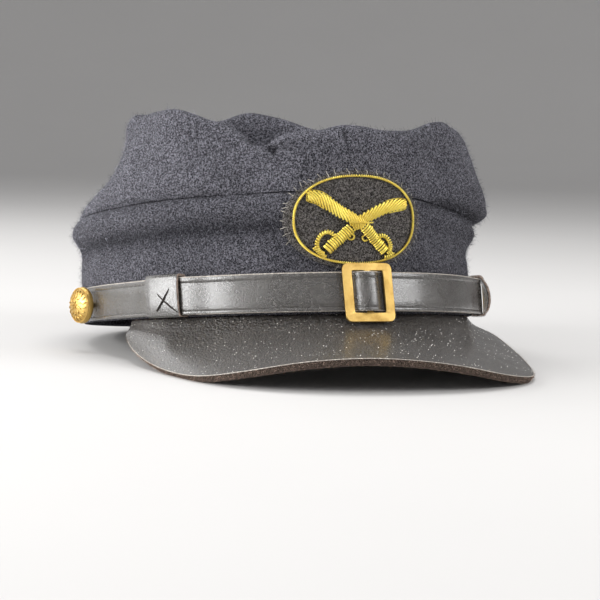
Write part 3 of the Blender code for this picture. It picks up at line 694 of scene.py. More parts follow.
def bear_badge(pieces):
    """Push the cap's cloth out against the back of the badge, more softly beyond the badge's edge."""
    surface = surface_of(*pieces)

    def move(point):
        across, up, offset = badge_place(point)
        reach = badge_reach(across, up)
        lies = None
        if reach < BADGE_PRESS[1] and offset > -BADGE_DEPTH:
            lies = offset_on_badge(surface, across, up)
        if lies is None:
            return point
        push = max(0, -BADGE_CLOTH_THICKNESS - BADGE_CLEARANCE - lies)
        push *= (1 - ease(reach, *BADGE_PRESS)) * ease(point.z, *BADGE_PRESS_FOOT)
        return point + push * outward(BAND_SECTIONS[2], math.degrees(math.atan2(point.x, -point.y)))

    for piece in pieces:
        worn_shape(piece, move)


def wander(piece, strength, size, seed):
    """Push a cloth surface gently in and out with slow clouds."""
    clouds = bpy.data.textures.new(f"{piece.name} clouds {seed}", "CLOUDS")
    clouds.noise_scale = size
    clouds.noise_depth = 1
    shift = new_object(f"{piece.name} cloud place {seed}", None)
    shift.location = [seed * step for step in CLOUD_STEP]
    bpy.context.view_layer.update()
    push = piece.modifiers.new("Wander", "DISPLACE")
    push.texture = clouds
    push.texture_coords = "OBJECT"
    push.texture_coords_object = shift
    push.strength = strength
    push.mid_level = 0.5
    apply_modifiers(piece)
    bpy.data.objects.remove(shift)


# ---------------------------------------------------------------- material helpers

def feed(tree, socket, value):
    """Link a socket to an output, or set its number or its colour."""
    if isinstance(value, bpy.types.NodeSocket):
        tree.links.new(value, socket)
    else:
        socket.default_value = (*value, 1.0) if socket.type == "RGBA" else value


def add_node(tree, kind, settings=None, **inputs):
    """Node with its settings, and its inputs linked or set by name."""
    made = tree.nodes.new(kind)
    for name, value in (settings or {}).items():
        setattr(made, name, value)
    for name, value in inputs.items():
        feed(tree, made.inputs[name.replace("_", " ")], value)
    return made


def compute(tree, operation, *values, clamp=False):
    """Output of a Math node on sockets or numbers."""
    made = add_node(tree, "ShaderNodeMath", {"operation": operation, "use_clamp": clamp})
    for socket, value in zip(made.inputs, values):
        feed(tree, socket, value)
    return made.outputs[0]


def total(tree, *parts, clamp=False):
    """Sum of several values, each with its weight."""
    result, *others = [value if weight == 1 else compute(tree, "MULTIPLY", value, weight)
                       for value, weight in parts]
    for other in others:
        result = compute(tree, "ADD", result, other, clamp=clamp)
    return result


def highest(tree, first, *others):
    """Greatest of several values."""
    for other in others:
        first = compute(tree, "MAXIMUM", first, other)
    return first


def blend(tree, share, first, second):
    """Colour between two colours."""
    made = add_node(tree, "ShaderNodeMix", {"data_type": "RGBA"})
    for index, value in ((0, share), (6, first), (7, second)):      # the factor and the two colours
        feed(tree, made.inputs[index], value)
    return made.outputs[2]


def spread(tree, value, low, high, to_low=0.0, to_high=1.0):
    """Value mapped smoothly from one range to another."""
    return add_node(tree, "ShaderNodeMapRange", {"interpolation_type": "SMOOTHSTEP"}, Value=value,
                    From_Min=low, From_Max=high, To_Min=to_low, To_Max=to_high).outputs["Result"]


def noise(tree, vector, scale, detail=3.0, roughness=0.6, distortion=0.0):
    return add_node(tree, "ShaderNodeTexNoise", Vector=vector, Scale=scale, Detail=detail,
                    Roughness=roughness, Distortion=distortion).outputs["Fac"]


def stretched(tree, vector, scale, turn=(0, 0, 0)):
    return add_node(tree, "ShaderNodeMapping", Vector=vector, Scale=scale, Rotation=turn).outputs["Vector"]


def read_attribute(tree, name):
    return add_node(tree, "ShaderNodeAttribute", {"attribute_name": name}).outputs["Fac"]


def use_group(tree, name, kinds, build, **inputs):
    """Outputs of a shared effect, whose node group with these kinds of inputs and outputs is built once."""
    group = bpy.data.node_groups.get(name)
    if group is None:
        group = bpy.data.node_groups.new(name, "ShaderNodeTree")
        for side, sockets in kinds.items():
            for label, kind in sockets.items():
                group.interface.new_socket(label, in_out=side, socket_type="NodeSocket" + kind)
        results = build(group, group.nodes.new("NodeGroupInput").outputs)
        add_node(group, "NodeGroupOutput", **results)
    return add_node(tree, "ShaderNodeGroup", {"node_tree": group}, **inputs).outputs


def new_material(name, **constants):
    """Material with its Principled shader's constants set, its tree and its object coordinates."""
    material = bpy.data.materials.new(name)
    material.use_nodes = True
    tree = material.node_tree
    shader = tree.nodes["Principled BSDF"]
    for label, value in constants.items():
        shader.inputs[label.replace("_", " ")].default_value = value
    place = tree.nodes.new("ShaderNodeTexCoord").outputs["Object"]
    return material, tree, shader, place


def relief(tree, shader, height, distance, strength=1.0):
    made = add_node(tree, "ShaderNodeBump", Height=height, Distance=distance, Strength=strength)
    tree.links.new(made.outputs["Normal"], shader.inputs["Normal"])


def tinted(colour, tint, lift=0.0):
    """Colour times one number or three, and no brighter than white."""
    tints = tint if isinstance(tint, tuple) else (tint, tint, tint)
    return [min(1, part * share + lift) for part, share in zip(colour, tints)]


# ---------------------------------------------------------------- shared effects

def build_felt(tree, entry):
    """Felted wool: tufts and tangles between dark and pale, short pale hairs, and slow changes of tone."""
    vector = entry["Vector"]
    tufts = noise(tree, vector, 1500, 2, 0.65, 0.7)
    tangle = noise(tree, vector, 2500, 2, 0.7, 0.8)
    hairs = []
    for turn in ((0.4, 0.2, 0.7), (1.3, 0.9, 2.2), (2.3, 0.3, 1.4)):
        hair = noise(tree, stretched(tree, vector, (3400, 800, 3000), turn), 1.0, 1, 0.5, 0.9)
        hairs.append(spread(tree, hair, 0.60, 0.70))
    hairs = highest(tree, *hairs)
    slow = noise(tree, vector, 34, 3, 0.55)
    share = total(tree, (spread(tree, tufts, 0.50, 0.57, 0.0, 0.62), 1),
                  (spread(tree, tangle, 0.50, 0.58, 0.0, 0.32), 1), (hairs, 0.50), clamp=True)
    share = compute(tree, "MULTIPLY", share, spread(tree, slow, 0.3, 0.7, 0.86, 1.08))
    return {"Colour": blend(tree, share, entry["Ground"], entry["Fleck"]),
            "Height": total(tree, (tufts, 1), (tangle, 0.6), (hairs, 0.5))}


def felt(tree, place, ground, fleck):
    kinds = {"INPUT": {"Vector": "Vector", "Ground": "Color", "Fleck": "Color"},
             "OUTPUT": {"Colour": "Color", "Height": "Float"}}
    return use_group(tree, "felted wool", kinds, build_felt, Vector=place, Ground=ground, Fleck=fleck)


def build_grain(tree, entry):
    """Fine leather grain: pebbles between creases, pores and slow waves."""
    vector = entry["Vector"]
    waves = noise(tree, vector, 500, 2, 0.5)
    pebbles = add_node(tree, "ShaderNodeTexVoronoi", {"feature": "SMOOTH_F1"}, Vector=vector,
                       Scale=entry["Scale"], Smoothness=0.35, Randomness=1.0).outputs["Distance"]
    pores = noise(tree, vector, 2300, 3, 0.7)
    return {"Height": total(tree, (pebbles, -0.8), (pores, 0.45), (waves, 0.5)),
            "Slow": noise(tree, vector, 55, 3, 0.5)}


def grain(tree, place, scale):
    kinds = {"INPUT": {"Vector": "Vector", "Scale": "Float"}, "OUTPUT": {"Height": "Float", "Slow": "Float"}}
    return use_group(tree, "leather grain", kinds, build_grain, Vector=place, Scale=scale)


def build_dust(tree, entry):
    """Specks of lint and dust of two sizes, and a few fine scratches."""
    vector = entry["Vector"]
    masks = []
    for scale, most in ((260, 0.060), (800, 0.20)):
        cells = add_node(tree, "ShaderNodeTexVoronoi", {"feature": "F1"}, Vector=vector, Scale=scale,
                         Randomness=1.0)
        chance = add_node(tree, "ShaderNodeSeparateColor", Color=cells.outputs["Color"]).outputs["Red"]
        size = spread(tree, chance, 0.45, 1.0, 0.0, most)
        masks.append(compute(tree, "LESS_THAN", cells.outputs["Distance"], size))
    patches = spread(tree, noise(tree, vector, 60, 2, 0.6), 0.36, 0.60, 0.25, 1.0)
    scratches = []
    for turn in ((0.2, 0.1, 0.9), (0.1, 0.4, 2.4)):
        line = noise(tree, stretched(tree, vector, (30, 1400, 900), turn), 1.0, 1, 0.4, 0.2)
        scratches.append(compute(tree, "MULTIPLY", spread(tree, line, 0.66, 0.70),
                                 spread(tree, line, 0.78, 0.74)))
    return {"Specks": compute(tree, "MULTIPLY", highest(tree, *masks), patches),
            "Scratches": highest(tree, *scratches)}


def dust(tree, place):
    kinds = {"INPUT": {"Vector": "Vector"}, "OUTPUT": {"Specks": "Float", "Scratches": "Float"}}
    return use_group(tree, "dust and scratches", kinds, build_dust, Vector=place)


# ---------------------------------------------------------------- materials

def wool_material(name, ground, fleck):
    """Felted wool with a soft sheen, and painted shade where its mesh is marked dark."""
    material, tree, shader, place = new_material(
        name, Roughness=0.95, Sheen_Weight=0.04, Sheen_Roughness=0.5, Specular_IOR_Level=0.05)
    wool = felt(tree, place, ground, fleck)
    # Painted shade: where the mesh marks it, the wool's colour blends toward its dark ground.
    tone = blend(tree, read_attribute(tree, "pressed"), wool["Colour"], ground)
    tree.links.new(tone, shader.inputs["Base Color"])
    relief(tree, shader, wool["Height"], 0.0008)
    return material


def nap_material(name, ground, fleck):
    """Loose fibres, each with its own tone."""
    material, tree, shader, place = new_material(name, Roughness=0.75, Specular_IOR_Level=0.2)
    tone = compute(tree, "POWER", read_attribute(tree, "tone"), 2.0)
    share = compute(tree, "MULTIPLY", tone, spread(tree, noise(tree, place, 900, 2, 0.5), 0.3, 0.7, 0.6, 1.1))
    tree.links.new(blend(tree, share, ground, fleck), shader.inputs["Base Color"])
    return material


LeatherLook = namedtuple("LeatherLook", "grain_scale roughness dusty worn depth specular coat coat_roughness")
STRAP_LOOK = LeatherLook(1500.0, 0.25, 0.15, 0.15, 0.00018, 1.0, 0.8, 0.22)
VISOR_LOOK = LeatherLook(1000.0, 0.36, 1.0, 0.2, 0.00080, 1.0, 0.75, 0.25)
# Look of the pale edges, which are partly rubbed wear and partly a painted highlight.
RUBBED_HIGHLIGHT_LOOK = LeatherLook(1500.0, 0.45, 0.5, 0.1, 0.00030, 1.0, 0.2, 0.3)
SCUFFED = (0.085, 0.072, 0.062)
SCRATCHED = (0.22, 0.20, 0.18)
DUSTED = (0.66, 0.63, 0.57)


def leather_material(name, colour, tops, look):
    """Leather with paler tops to its grain, dust, scratches and rubbed places."""
    material, tree, shader, place = new_material(
        name, Specular_IOR_Level=look.specular, Coat_Weight=look.coat, Coat_Roughness=look.coat_roughness)
    hide = grain(tree, place, look.grain_scale)
    marks = dust(tree, place)
    fine = spread(tree, noise(tree, place, look.grain_scale, 3, 0.7), 0.49, 0.59)
    tone = blend(tree, fine, colour, tops)
    tone = blend(tree, spread(tree, hide["Slow"], 0.45, 0.75, 0.0, look.worn), tone, SCUFFED)
    tone = blend(tree, compute(tree, "MULTIPLY", marks["Scratches"], 0.10), tone, SCRATCHED)
    tone = blend(tree, compute(tree, "MULTIPLY", marks["Specks"], look.dusty), tone, DUSTED)
    tree.links.new(tone, shader.inputs["Base Color"])
    even = spread(tree, hide["Slow"], 0.3, 0.7, look.roughness - 0.04, look.roughness + 0.05)
    rough = total(tree, (even, 1), (marks["Specks"], 0.4), (marks["Scratches"], 0.06), clamp=True)
    tree.links.new(rough, shader.inputs["Roughness"])
    relief(tree, shader, total(tree, (hide["Height"], 1), (fine, 0.3)), look.depth)
    return material


def raw_edge_material(name, colour):
    """Cut edge of leather: brown, fibrous and scuffed."""
    material, tree, shader, place = new_material(name, Roughness=0.85, Specular_IOR_Level=0.2)
    fibres = noise(tree, place, 1500, 3, 0.7, 0.8)
    fuzz = noise(tree, place, 3100, 2, 0.6, 0.5)
    tone = blend(tree, spread(tree, fibres, 0.38, 0.60), tinted(colour, 0.30), colour)
    tone = blend(tree, spread(tree, fuzz, 0.55, 0.66, 0.0, 0.75), tone, tinted(colour, 4.0))
    tree.links.new(tone, shader.inputs["Base Color"])
    relief(tree, shader, compute(tree, "ADD", fibres, fuzz), 0.0006)
    return material


def brass_material(name, colour, roughness, mottle):
    """Brass with faint tarnish and fine rubbing marks."""
    material, tree, shader, place = new_material(name, Metallic=1.0)
    clouds = noise(tree, place, 180, 4, 0.65)
    fine = noise(tree, place, 1700, 3, 0.7)
    brushed = noise(tree, stretched(tree, place, (2500, 2500, 160)), 1.0, 2, 0.5)
    share = total(tree, (spread(tree, clouds, 0.40, 0.75), mottle),
                  (spread(tree, fine, 0.58, 0.75, 0.0, mottle * 0.6), 1), clamp=True)
    tone = blend(tree, share, colour, tinted(colour, (0.72, 0.62, 0.45)))
    tree.links.new(tone, shader.inputs["Base Color"])
    even = spread(tree, brushed, 0.3, 0.7, roughness - 0.06, roughness + 0.08)
    tree.links.new(total(tree, (even, 1), (share, 0.2), clamp=True), shader.inputs["Roughness"])
    relief(tree, shader, compute(tree, "ADD", fine, brushed), 0.00006, 0.5)
    return material


def gold_material(name, colour):
    """Gilt bullion and wire, with painted highlights: paler, whiter specks at random."""
    material, tree, shader, place = new_material(name, Metallic=0.75)
    fine = noise(tree, place, 1400, 3, 0.7)
    slow = noise(tree, place, 130, 2, 0.6)
    tone = blend(tree, spread(tree, slow, 0.35, 0.65, 0.0, 0.6), colour, tinted(colour, (0.75, 0.62, 0.45)))
    # Painted highlights: fine specks blended toward a paler, whiter gold.
    tone = blend(tree, spread(tree, fine, 0.5, 0.75, 0.0, 0.7), tone, tinted(colour, (1.0, 1.08, 1.9), 0.06))
    tree.links.new(tone, shader.inputs["Base Color"])
    tree.links.new(spread(tree, fine, 0.3, 0.7, 0.28, 0.44), shader.inputs["Roughness"])
    relief(tree, shader, fine, 0.00008, 0.4)
    return material


def thread_material(name, colour):
    """Spun thread with a slow change of tone."""
    material, tree, shader, place = new_material(name, Roughness=0.8, Specular_IOR_Level=0.2)
    twist = noise(tree, place, 2600, 2, 0.6)
    tone = blend(tree, spread(tree, twist, 0.35, 0.7), colour, tinted(colour, 1.7))
    tree.links.new(tone, shader.inputs["Base Color"])
    relief(tree, shader, twist, 0.0001)
    return material


def floor_material(name, colour):
    """Pale matt floor with the faintest unevenness."""
    material, tree, shader, place = new_material(name, Roughness=0.85, Specular_IOR_Level=0.2)
    tone = blend(tree, noise(tree, place, 6, 3, 0.5), colour, tinted(colour, 1.04))
    tree.links.new(tone, shader.inputs["Base Color"])
    return material


# ---------------------------------------------------------------- scattered fibres and lint

FIBRE_THICKNESS = 0.000096
FIBRE_BEND = 0.35               # how far a fibre's tip leans over, in lengths of the fibre
NAP_LEAN = (0.35, 1.35)         # least and most lean of a fibre, in radians
UNIT_SIZES = (0.45, 1.5)        # least and most size of a scattered unit
STRAY_LENGTH = 1.9              # length of a stray hair, in lengths of the nap


def fibre_unit(length):
    """One bent, tapering fibre that stands on the origin, from a three-sided cone."""
    bpy.ops.object.select_all(action="DESELECT")
    bpy.ops.mesh.primitive_cone_add(vertices=3, radius1=FIBRE_THICKNESS / 2, radius2=0, depth=length,
                                    location=(0, 0, length / 2))
    fibre = bpy.context.object
    bpy.ops.object.transform_apply(location=True)
    bpy.ops.object.mode_set(mode="EDIT")
    bpy.ops.mesh.select_all(action="SELECT")
    bpy.ops.mesh.bisect(plane_co=(0, 0, length * 0.5), plane_no=(0, 0, 1))
    bpy.ops.object.mode_set(mode="OBJECT")
    for vertex in fibre.data.vertices:
        vertex.co.x += FIBRE_BEND * length * (vertex.co.z / length) ** 2
    return fibre


def nap(name, carrier, length, density, seed, material):
    """Loose fibres scattered on the marked side of a piece."""
    scatter(name, carrier, fibre_unit(length), density, seed, material, NAP_LEAN)


def random_number(tree, low, high, seed):
    made = add_node(tree, "FunctionNodeRandomValue", Seed=seed)
    made.inputs[2].default_value, made.inputs[3].default_value = low, high      # limits of a plain number
    return made.outputs[1]


def scatter(name, carrier, unit, density, seed, material, lean):
    """Copies of a small unit on a piece's marked side, by a geometry nodes modifier, which is applied."""
    tree = bpy.data.node_groups.new(name, "GeometryNodeTree")
    for side in ("INPUT", "OUTPUT"):
        tree.interface.new_socket("Geometry", in_out=side, socket_type="NodeSocketGeometry")
    entry = tree.nodes.new("NodeGroupInput").outputs[0]
    marked = add_node(tree, "GeometryNodeInputNamedAttribute", {"data_type": "FLOAT"}, Name="outside")
    chosen = compute(tree, "GREATER_THAN", marked.outputs["Attribute"], 0.5)
    points = add_node(tree, "GeometryNodeDistributePointsOnFaces", Mesh=entry, Selection=chosen,
                      Density=density, Seed=seed)
    lean_by = add_node(tree, "FunctionNodeRandomValue", {"data_type": "FLOAT_VECTOR"}, Seed=seed + 1,
                       Min=(lean[0], 0, 0), Max=(lean[1], 0, math.tau))
    turned = add_node(tree, "FunctionNodeRotateRotation", {"rotation_space": "LOCAL"},
                      Rotation=points.outputs["Rotation"],
                      Rotate_By=add_node(tree, "FunctionNodeEulerToRotation",
                                         Euler=lean_by.outputs["Value"]).outputs["Rotation"])
    placed = add_node(tree, "GeometryNodeInstanceOnPoints", Points=points.outputs["Points"],
                      Instance=add_node(tree, "GeometryNodeObjectInfo", Object=unit).outputs["Geometry"],
                      Rotation=turned.outputs["Rotation"], Scale=random_number(tree, *UNIT_SIZES, seed + 2))
    toned = add_node(tree, "GeometryNodeStoreNamedAttribute", {"data_type": "FLOAT", "domain": "INSTANCE"},
                     Geometry=placed.outputs["Instances"], Name="tone",
                     Value=random_number(tree, 0.0, 1.0, seed + 3))
    real = add_node(tree, "GeometryNodeRealizeInstances", Geometry=toned.outputs["Geometry"])
    tree.links.new(real.outputs["Geometry"], tree.nodes.new("NodeGroupOutput").inputs[0])
    piece = new_object(name, carrier.data.copy())
    piece.modifiers.new("Scatter", "NODES").node_group = tree
    apply_modifiers(piece)
    bpy.data.objects.remove(unit)
    piece.data.materials.clear()
    finish(piece, [material], worn=False)


# ---------------------------------------------------------------- finishes

def find_material(name, make, *arguments):
    """Material of this name, made only once."""
    return bpy.data.materials.get(name) or make(name, *arguments)


def cap_wool(cloth):
    return find_material("felted wool", wool_material, cloth.wool, cloth.fleck)


def band_wool(cloth):
    # Painted shade: the band's flecks are painted at 0.82 of the crown's, so the band reads darker than the
    # crown, as if less lit.
    return find_material("felted band wool", wool_material, cloth.wool, tinted(cloth.fleck, 0.82))


def badge_wool(cloth):
    return find_material("felted badge wool", wool_material, cloth.badge_wool,
                         tinted(cloth.fleck, (0.95, 0.89, 0.74)))


def cap_nap(cloth):
    return find_material("wool nap", nap_material, cloth.wool, tinted(cloth.fleck, 1.8))


def strap_leather(leather):
    return find_material("grained strap leather", leather_material, leather.black,
                         tinted(leather.black, 2.0), STRAP_LOOK)


def visor_leather(leather):
    return find_material("grained visor leather", leather_material, leather.black, leather.visor_tops,
                         VISOR_LOOK)


def raw_edge(leather):
    return find_material("raw leather edge", raw_edge_material, leather.raw)


def keeper_edge_painted_light(leather):
    # Painted light: the keepers' raw sides are painted eight times as bright as the visor's raw rim, so they
    # read as lit.
    return find_material("raw keeper edge", raw_edge_material, tinted(leather.raw, 8.0))


def rim_fuzz(leather):
    return find_material("rim fibres", nap_material, tinted(leather.raw, 2.0), tinted(leather.raw, 10.0))


# Pale colour of the visor's arris bead and the straps' edges: partly rubbed wear, partly a painted highlight.
def rubbed_edge_and_highlight(leather):
    return find_material("rubbed leather edge", leather_material, leather.rubbed, leather.rubbed_highlight_tops,
                         RUBBED_HIGHLIGHT_LOOK)


def brass(metal):
    return find_material("brushed brass", brass_material, metal.brass, 0.42, 0.6)


def gold(metal):
    return find_material("gilt wire", gold_material, metal.gold)


# ---------------------------------------------------------------- band and crown

class CAP_OT_cloth(bpy.types.Operator):
    """Wool band with its padded roll, slumped crown and sunken top, pushed into their folds, with shade
    painted into the wool under the roll, along the seam and in the crease
    """
    bl_idname = "cap.cloth"
    bl_label = "Band and crown"

    def execute(self, context):
        cloth = context.scene.cap_cloth
        band = subdivide_smoothly(quad_copy("band", "band_wool", crease=0.40), 2)
        side = subdivide_smoothly(quad_copy("crown_side", "crown_side_wool", crease=0.40), 2)
        top = subdivide_smoothly(quad_copy("crown_top", "crown_top_wool", crease=0.75), 2)
        refine(side, FINE_REACH, cuts=2)
        for piece in (band, side):
            # mark where shade is painted into the wool's colour
            mark_shadows(piece)
            worn_shape(piece, handled)
        wander(side, cloth.unevenness, size=0.030, seed=3)
        wander(top, cloth.unevenness, size=0.024, seed=5)
        bear_badge([band, side])
        for piece, node, make in ((band, "band", band_wool), (side, "crown_side", cap_wool),
                                  (top, "crown_top", cap_wool)):
            finish(piece, [make(cloth)], [node], worn=False)
            shade(piece, 60)
        return {"FINISHED"}


class CAP_OT_nap(bpy.types.Operator):
    """Loose fibres and a few long stray hairs on the band, crown and top"""
    bl_idname = "cap.nap"
    bl_label = "Nap"

    def execute(self, context):
        cloth, stage = context.scene.cap_cloth, context.scene.cap_stage
        for step, node in enumerate(("band", "crown_side", "crown_top")):
            carrier, seed = bpy.data.objects[node + "_wool"], stage.seed + 10 * step
            nap(node + "_nap", carrier, cloth.nap_length, cloth.nap_density, seed, cap_nap(cloth))
            nap(node + "_stray_hairs", carrier, STRAY_LENGTH * cloth.nap_length, cloth.stray_density,
                seed + 5, cap_nap(cloth))
        return {"FINISHED"}


# ---------------------------------------------------------------- visor

FACING_UP = 0.2                 # a face of the visor whose normal rises more than this is on its upper side
ARRIS_HIGHLIGHT_FROM_BAND = 0.005          # the pale bead, partly rubbed wear and partly a painted highlight, starts this far outside the band's lower edge
SHORTEST_ARRIS_HIGHLIGHT = 20              # points
RIM_FIBRE_LENGTH = 0.0010
LINT_RADIUS = 0.00016
LINT_LEAN = (0.0, 0.6)


def arris(piece):
    """Paths along the edges where a piece's upper side meets its cut rim, clear of the band."""
    meeting = {}
    for face in piece.data.polygons:
        for key in face.edge_keys:
            meeting.setdefault(key, []).append(face)
    ends = {}
    for key, faces in meeting.items():
        on_rim = [face.material_index == 1 for face in faces]
        if any(on_rim) and not all(on_rim) and faces[on_rim.index(False)].normal.z > FACING_UP:
            for start, end in (key, key[::-1]):
                ends.setdefault(start, []).append(end)
    paths = []
    while ends:
        path, following = [], [next(iter(ends))]
        while following:
            path.append(following[0])
            following = [end for end in ends.pop(path[-1]) if end in ends]
        paths.append([piece.data.vertices[index].co.copy() for index in path])
    return [run for path in paths for run in runs(path, clear_of_band) if len(run) > SHORTEST_ARRIS_HIGHLIGHT]


def clear_of_band(point):
    """Whether a point of the visor stands out from under the band."""
    worn = TO_WORN @ point
    wall = on_band(round_the_head(worn)[0], 0.0, ARRIS_HIGHLIGHT_FROM_BAND)
    middle = BAND_SECTIONS[0].wide_y
    return math.hypot(worn.x, worn.y - middle) > math.hypot(wall.x, wall.y - middle)


def runs(path, wanted):
    """Unbroken runs of the wanted points of a closed path."""
    keep = [wanted(point) for point in path]
    if all(keep) or not any(keep):
        return [path] if all(keep) else []
    start = next(index for index in range(len(path)) if keep[index] and not keep[index - 1])
    turned = path[start:] + path[:start]
    found = [[]]
    for point, kept in zip(turned, keep[start:] + keep[:start]):
        if kept:
            found[-1].append(point)
        elif found[-1]:
            found.append([])
    return found


def mark(piece, chosen):
    """Mark the chosen faces for the next scatter."""
    marks = piece.data.attributes["outside"].data
    for face in piece.data.polygons:
        marks[face.index].value = float(chosen(face))


class CAP_OT_visor(bpy.types.Operator):
    """Thick leather visor with a raw, fibrous rim, a pale bead along its upper arris that is partly rubbed
    wear and partly a painted highlight, and dust
    """
    bl_idname = "cap.visor"
    bl_label = "Visor"

    def execute(self, context):
        leather, seed = context.scene.cap_leather, context.scene.cap_stage.seed
        visor = quad_copy("visor", "visor_leather", crease=1.0)
        for material in (visor_leather(leather), raw_edge(leather)):
            visor.data.materials.append(material)
        subdivide_smoothly(visor, 2)
        # A pale bead along the arris: partly rubbed wear, partly a painted highlight.
        rubbed_arris_highlight = wires("visor_arris", arris(visor), leather.rubbed_arris_highlight)
        bevel_edges(visor, 0.00030, 50)
        shade(visor, 50)
        finish(visor, [], ["visor"], worn=False)
        finish(rubbed_arris_highlight, [rubbed_edge_and_highlight(leather)], worn=False)
        mark(visor, lambda face: face.material_index == 1)
        nap("visor_rim_fibres", visor, RIM_FIBRE_LENGTH, leather.rim_fibres, seed + 60, rim_fuzz(leather))
        mark(visor, lambda face: face.material_index == 0 and face.normal.z > FACING_UP)
        bpy.ops.object.select_all(action="DESELECT")
        bpy.ops.mesh.primitive_ico_sphere_add(subdivisions=1, radius=LINT_RADIUS)
        grain_of_lint = bpy.context.object
        lint = find_material("lint", thread_material, leather.lint_colour)
        scatter("visor_lint", visor, grain_of_lint, leather.lint, seed + 50, lint, LINT_LEAN)
        return {"FINISHED"}


# ---------------------------------------------------------------- straps and keepers

STRAP_RAMP = 8.0                # degrees in which a strap rises over what lies under it
STRAP_STEP = 0.8                # degrees between two cross-sections
STRAP_TIP = (0.0, 0.06, 0.2, 0.45)      # degrees from the tip of its closer cross-sections
TIP_SHARE = 0.12                # least width of a tip
STRAP_ROUNDING = 0.00045
STRAP_CROWN = 0.00006           # how far the middle of a strap stands out
CREASE_WIDTH = 0.00030
RUBBED_HIGHLIGHT_WIDTH = 0.0006           # of a strap's paler edge, partly rubbed wear and partly a painted highlight


def under_base(angle):
    """Distance from the band to the back of the under strap."""
    near = sum(bump(angle, keeper, KEEPER_SPREAD, STRAP_RAMP) for keeper in (LEFT_KEEPER, RIGHT_KEEPER))
    return GAP + (KEEPER_LEATHER + GAP) * near


def over_base(angle):
    """Distance from the band to the back of the over strap."""
    doubled = (STRAP_LEATHER + GAP) * bump(angle, 0, RIGHT_KEEPER + KEEPER_SPREAD + 1, STRAP_RAMP)
    slot = SLIDE_WIDTH / 2 - SLIDE_SIDE_BAR - SLIDE_CENTRE_BAR / 2
    over_bar = bump(angle, SLIDE_ANGLE, SLIDE_CENTRE_BAR / 2 / DEGREE, slot / DEGREE)
    return under_base(angle) + doubled + (STRAP_LEATHER + SLIDE_BRASS + 4 * GAP) * over_bar


def strap_outline(leather):
    """Strap's cross-section as shares of its half width, and depths below its outer face."""
    half, edge, thick = STRAP_HEIGHT / 2, STRAP_ROUNDING, STRAP_LEATHER
    line, depth, width = half - leather.crease_inset, leather.crease_depth, CREASE_WIDTH
    outer = [(half, edge), (half - edge * 0.3, edge * 0.3), (half - edge, 0.0), (line + 2 * width, 0.0),
             (line + width, depth * 0.3), (line, depth), (line - width, depth * 0.3), (line - 2 * width, 0.0),
             (half * 0.3, -STRAP_CROWN)]
    outer += [(-across, down) for across, down in reversed(outer)]
    back = [(-half, thick - edge), (-half + edge, thick), (0.0, thick), (half - edge, thick),
            (half, thick - edge)]
    return [(across / half, down) for across, down in outer + back]


def strap_rows(leather, start, end, base, tip_start, tip_end):
    """Cross-sections along a strap, narrowed at its rounded tips."""
    half = STRAP_HEIGHT / 2
    steps = round((end - start) / STRAP_STEP)
    angles = [start + (end - start) * step / steps for step in range(steps + 1)]
    if tip_start:
        angles = [start + tip for tip in STRAP_TIP] + angles[1:]
    if tip_end:
        angles = angles[:-1] + [end - tip for tip in reversed(STRAP_TIP)]
    rows = []
    for angle in angles:
        reach = half
        if tip_start:
            reach = min(reach, (angle - start) * DEGREE)
        if tip_end:
            reach = min(reach, (end - angle) * DEGREE)
        share = max(TIP_SHARE, math.sqrt(max(0, 1 - (1 - reach / half) ** 2)))
        rows.append([on_band(angle, STRAP_MIDDLE + across * half * share, base(angle) + STRAP_LEATHER - down)
                     for across, down in strap_outline(leather)])
    return rows


class CAP_OT_straps(bpy.types.Operator):
    """Two chin straps with crease lines, and pale edges that are partly rubbed wear and partly painted
    highlights
    """
    bl_idname = "cap.straps"
    bl_label = "Chin straps"

    def execute(self, context):
        leather = context.scene.cap_leather
        button_end = BUTTON_ANGLE + STRAP_TAIL
        spans = [
            ("chin_strap_under", -button_end, RIGHT_KEEPER + KEEPER_SPREAD, under_base, True, False),
            ("chin_strap_over", LEFT_KEEPER - KEEPER_SPREAD, button_end, over_base, False, True),
        ]
        for node, *span in spans:
            strap = rolled_grid(node + "_leather", strap_rows(leather, *span))
            shade(strap, 50)
            finish(strap, [strap_leather(leather), rubbed_edge_and_highlight(leather)], [node])
            # The straps' edges are painted pale: partly rubbed wear, partly a painted highlight.
            for face in strap.data.polygons:
                from_middle = abs((TO_WORN @ face.center).z - STRAP_MIDDLE)
                tilted = abs((TO_WORN.to_3x3() @ face.normal).z) > 0.2
                face.material_index = from_middle > STRAP_HEIGHT / 2 - RUBBED_HIGHLIGHT_WIDTH and tilted
        return {"FINISHED"}


KEEPER_BULGE = {"keeper_left": (0.0007, 0.0007), "keeper_right": (0.0028, 0.0004)}  # at its two sides
KEEPER_CORNER = 0.0011
KEEPER_ROUNDING = 0.00030
STITCH_RADIUS = 0.00034
CROSS_STITCH = [        # angle and height of the points of its two threads
    [(-55.7, 0.0106), (-54.0, 0.0083), (-52.3, 0.0060), (-50.8, 0.0038), (-49.6, 0.0020)],
    [(-51.4, 0.0112), (-52.5, 0.0088), (-53.5, 0.0066), (-54.5, 0.0046), (-55.4, 0.0028)],
]
THREAD_LIFT = (0.00005, 0.00030)        # of each thread over the keeper
THREAD_SINK = 0.0006                    # of its ends


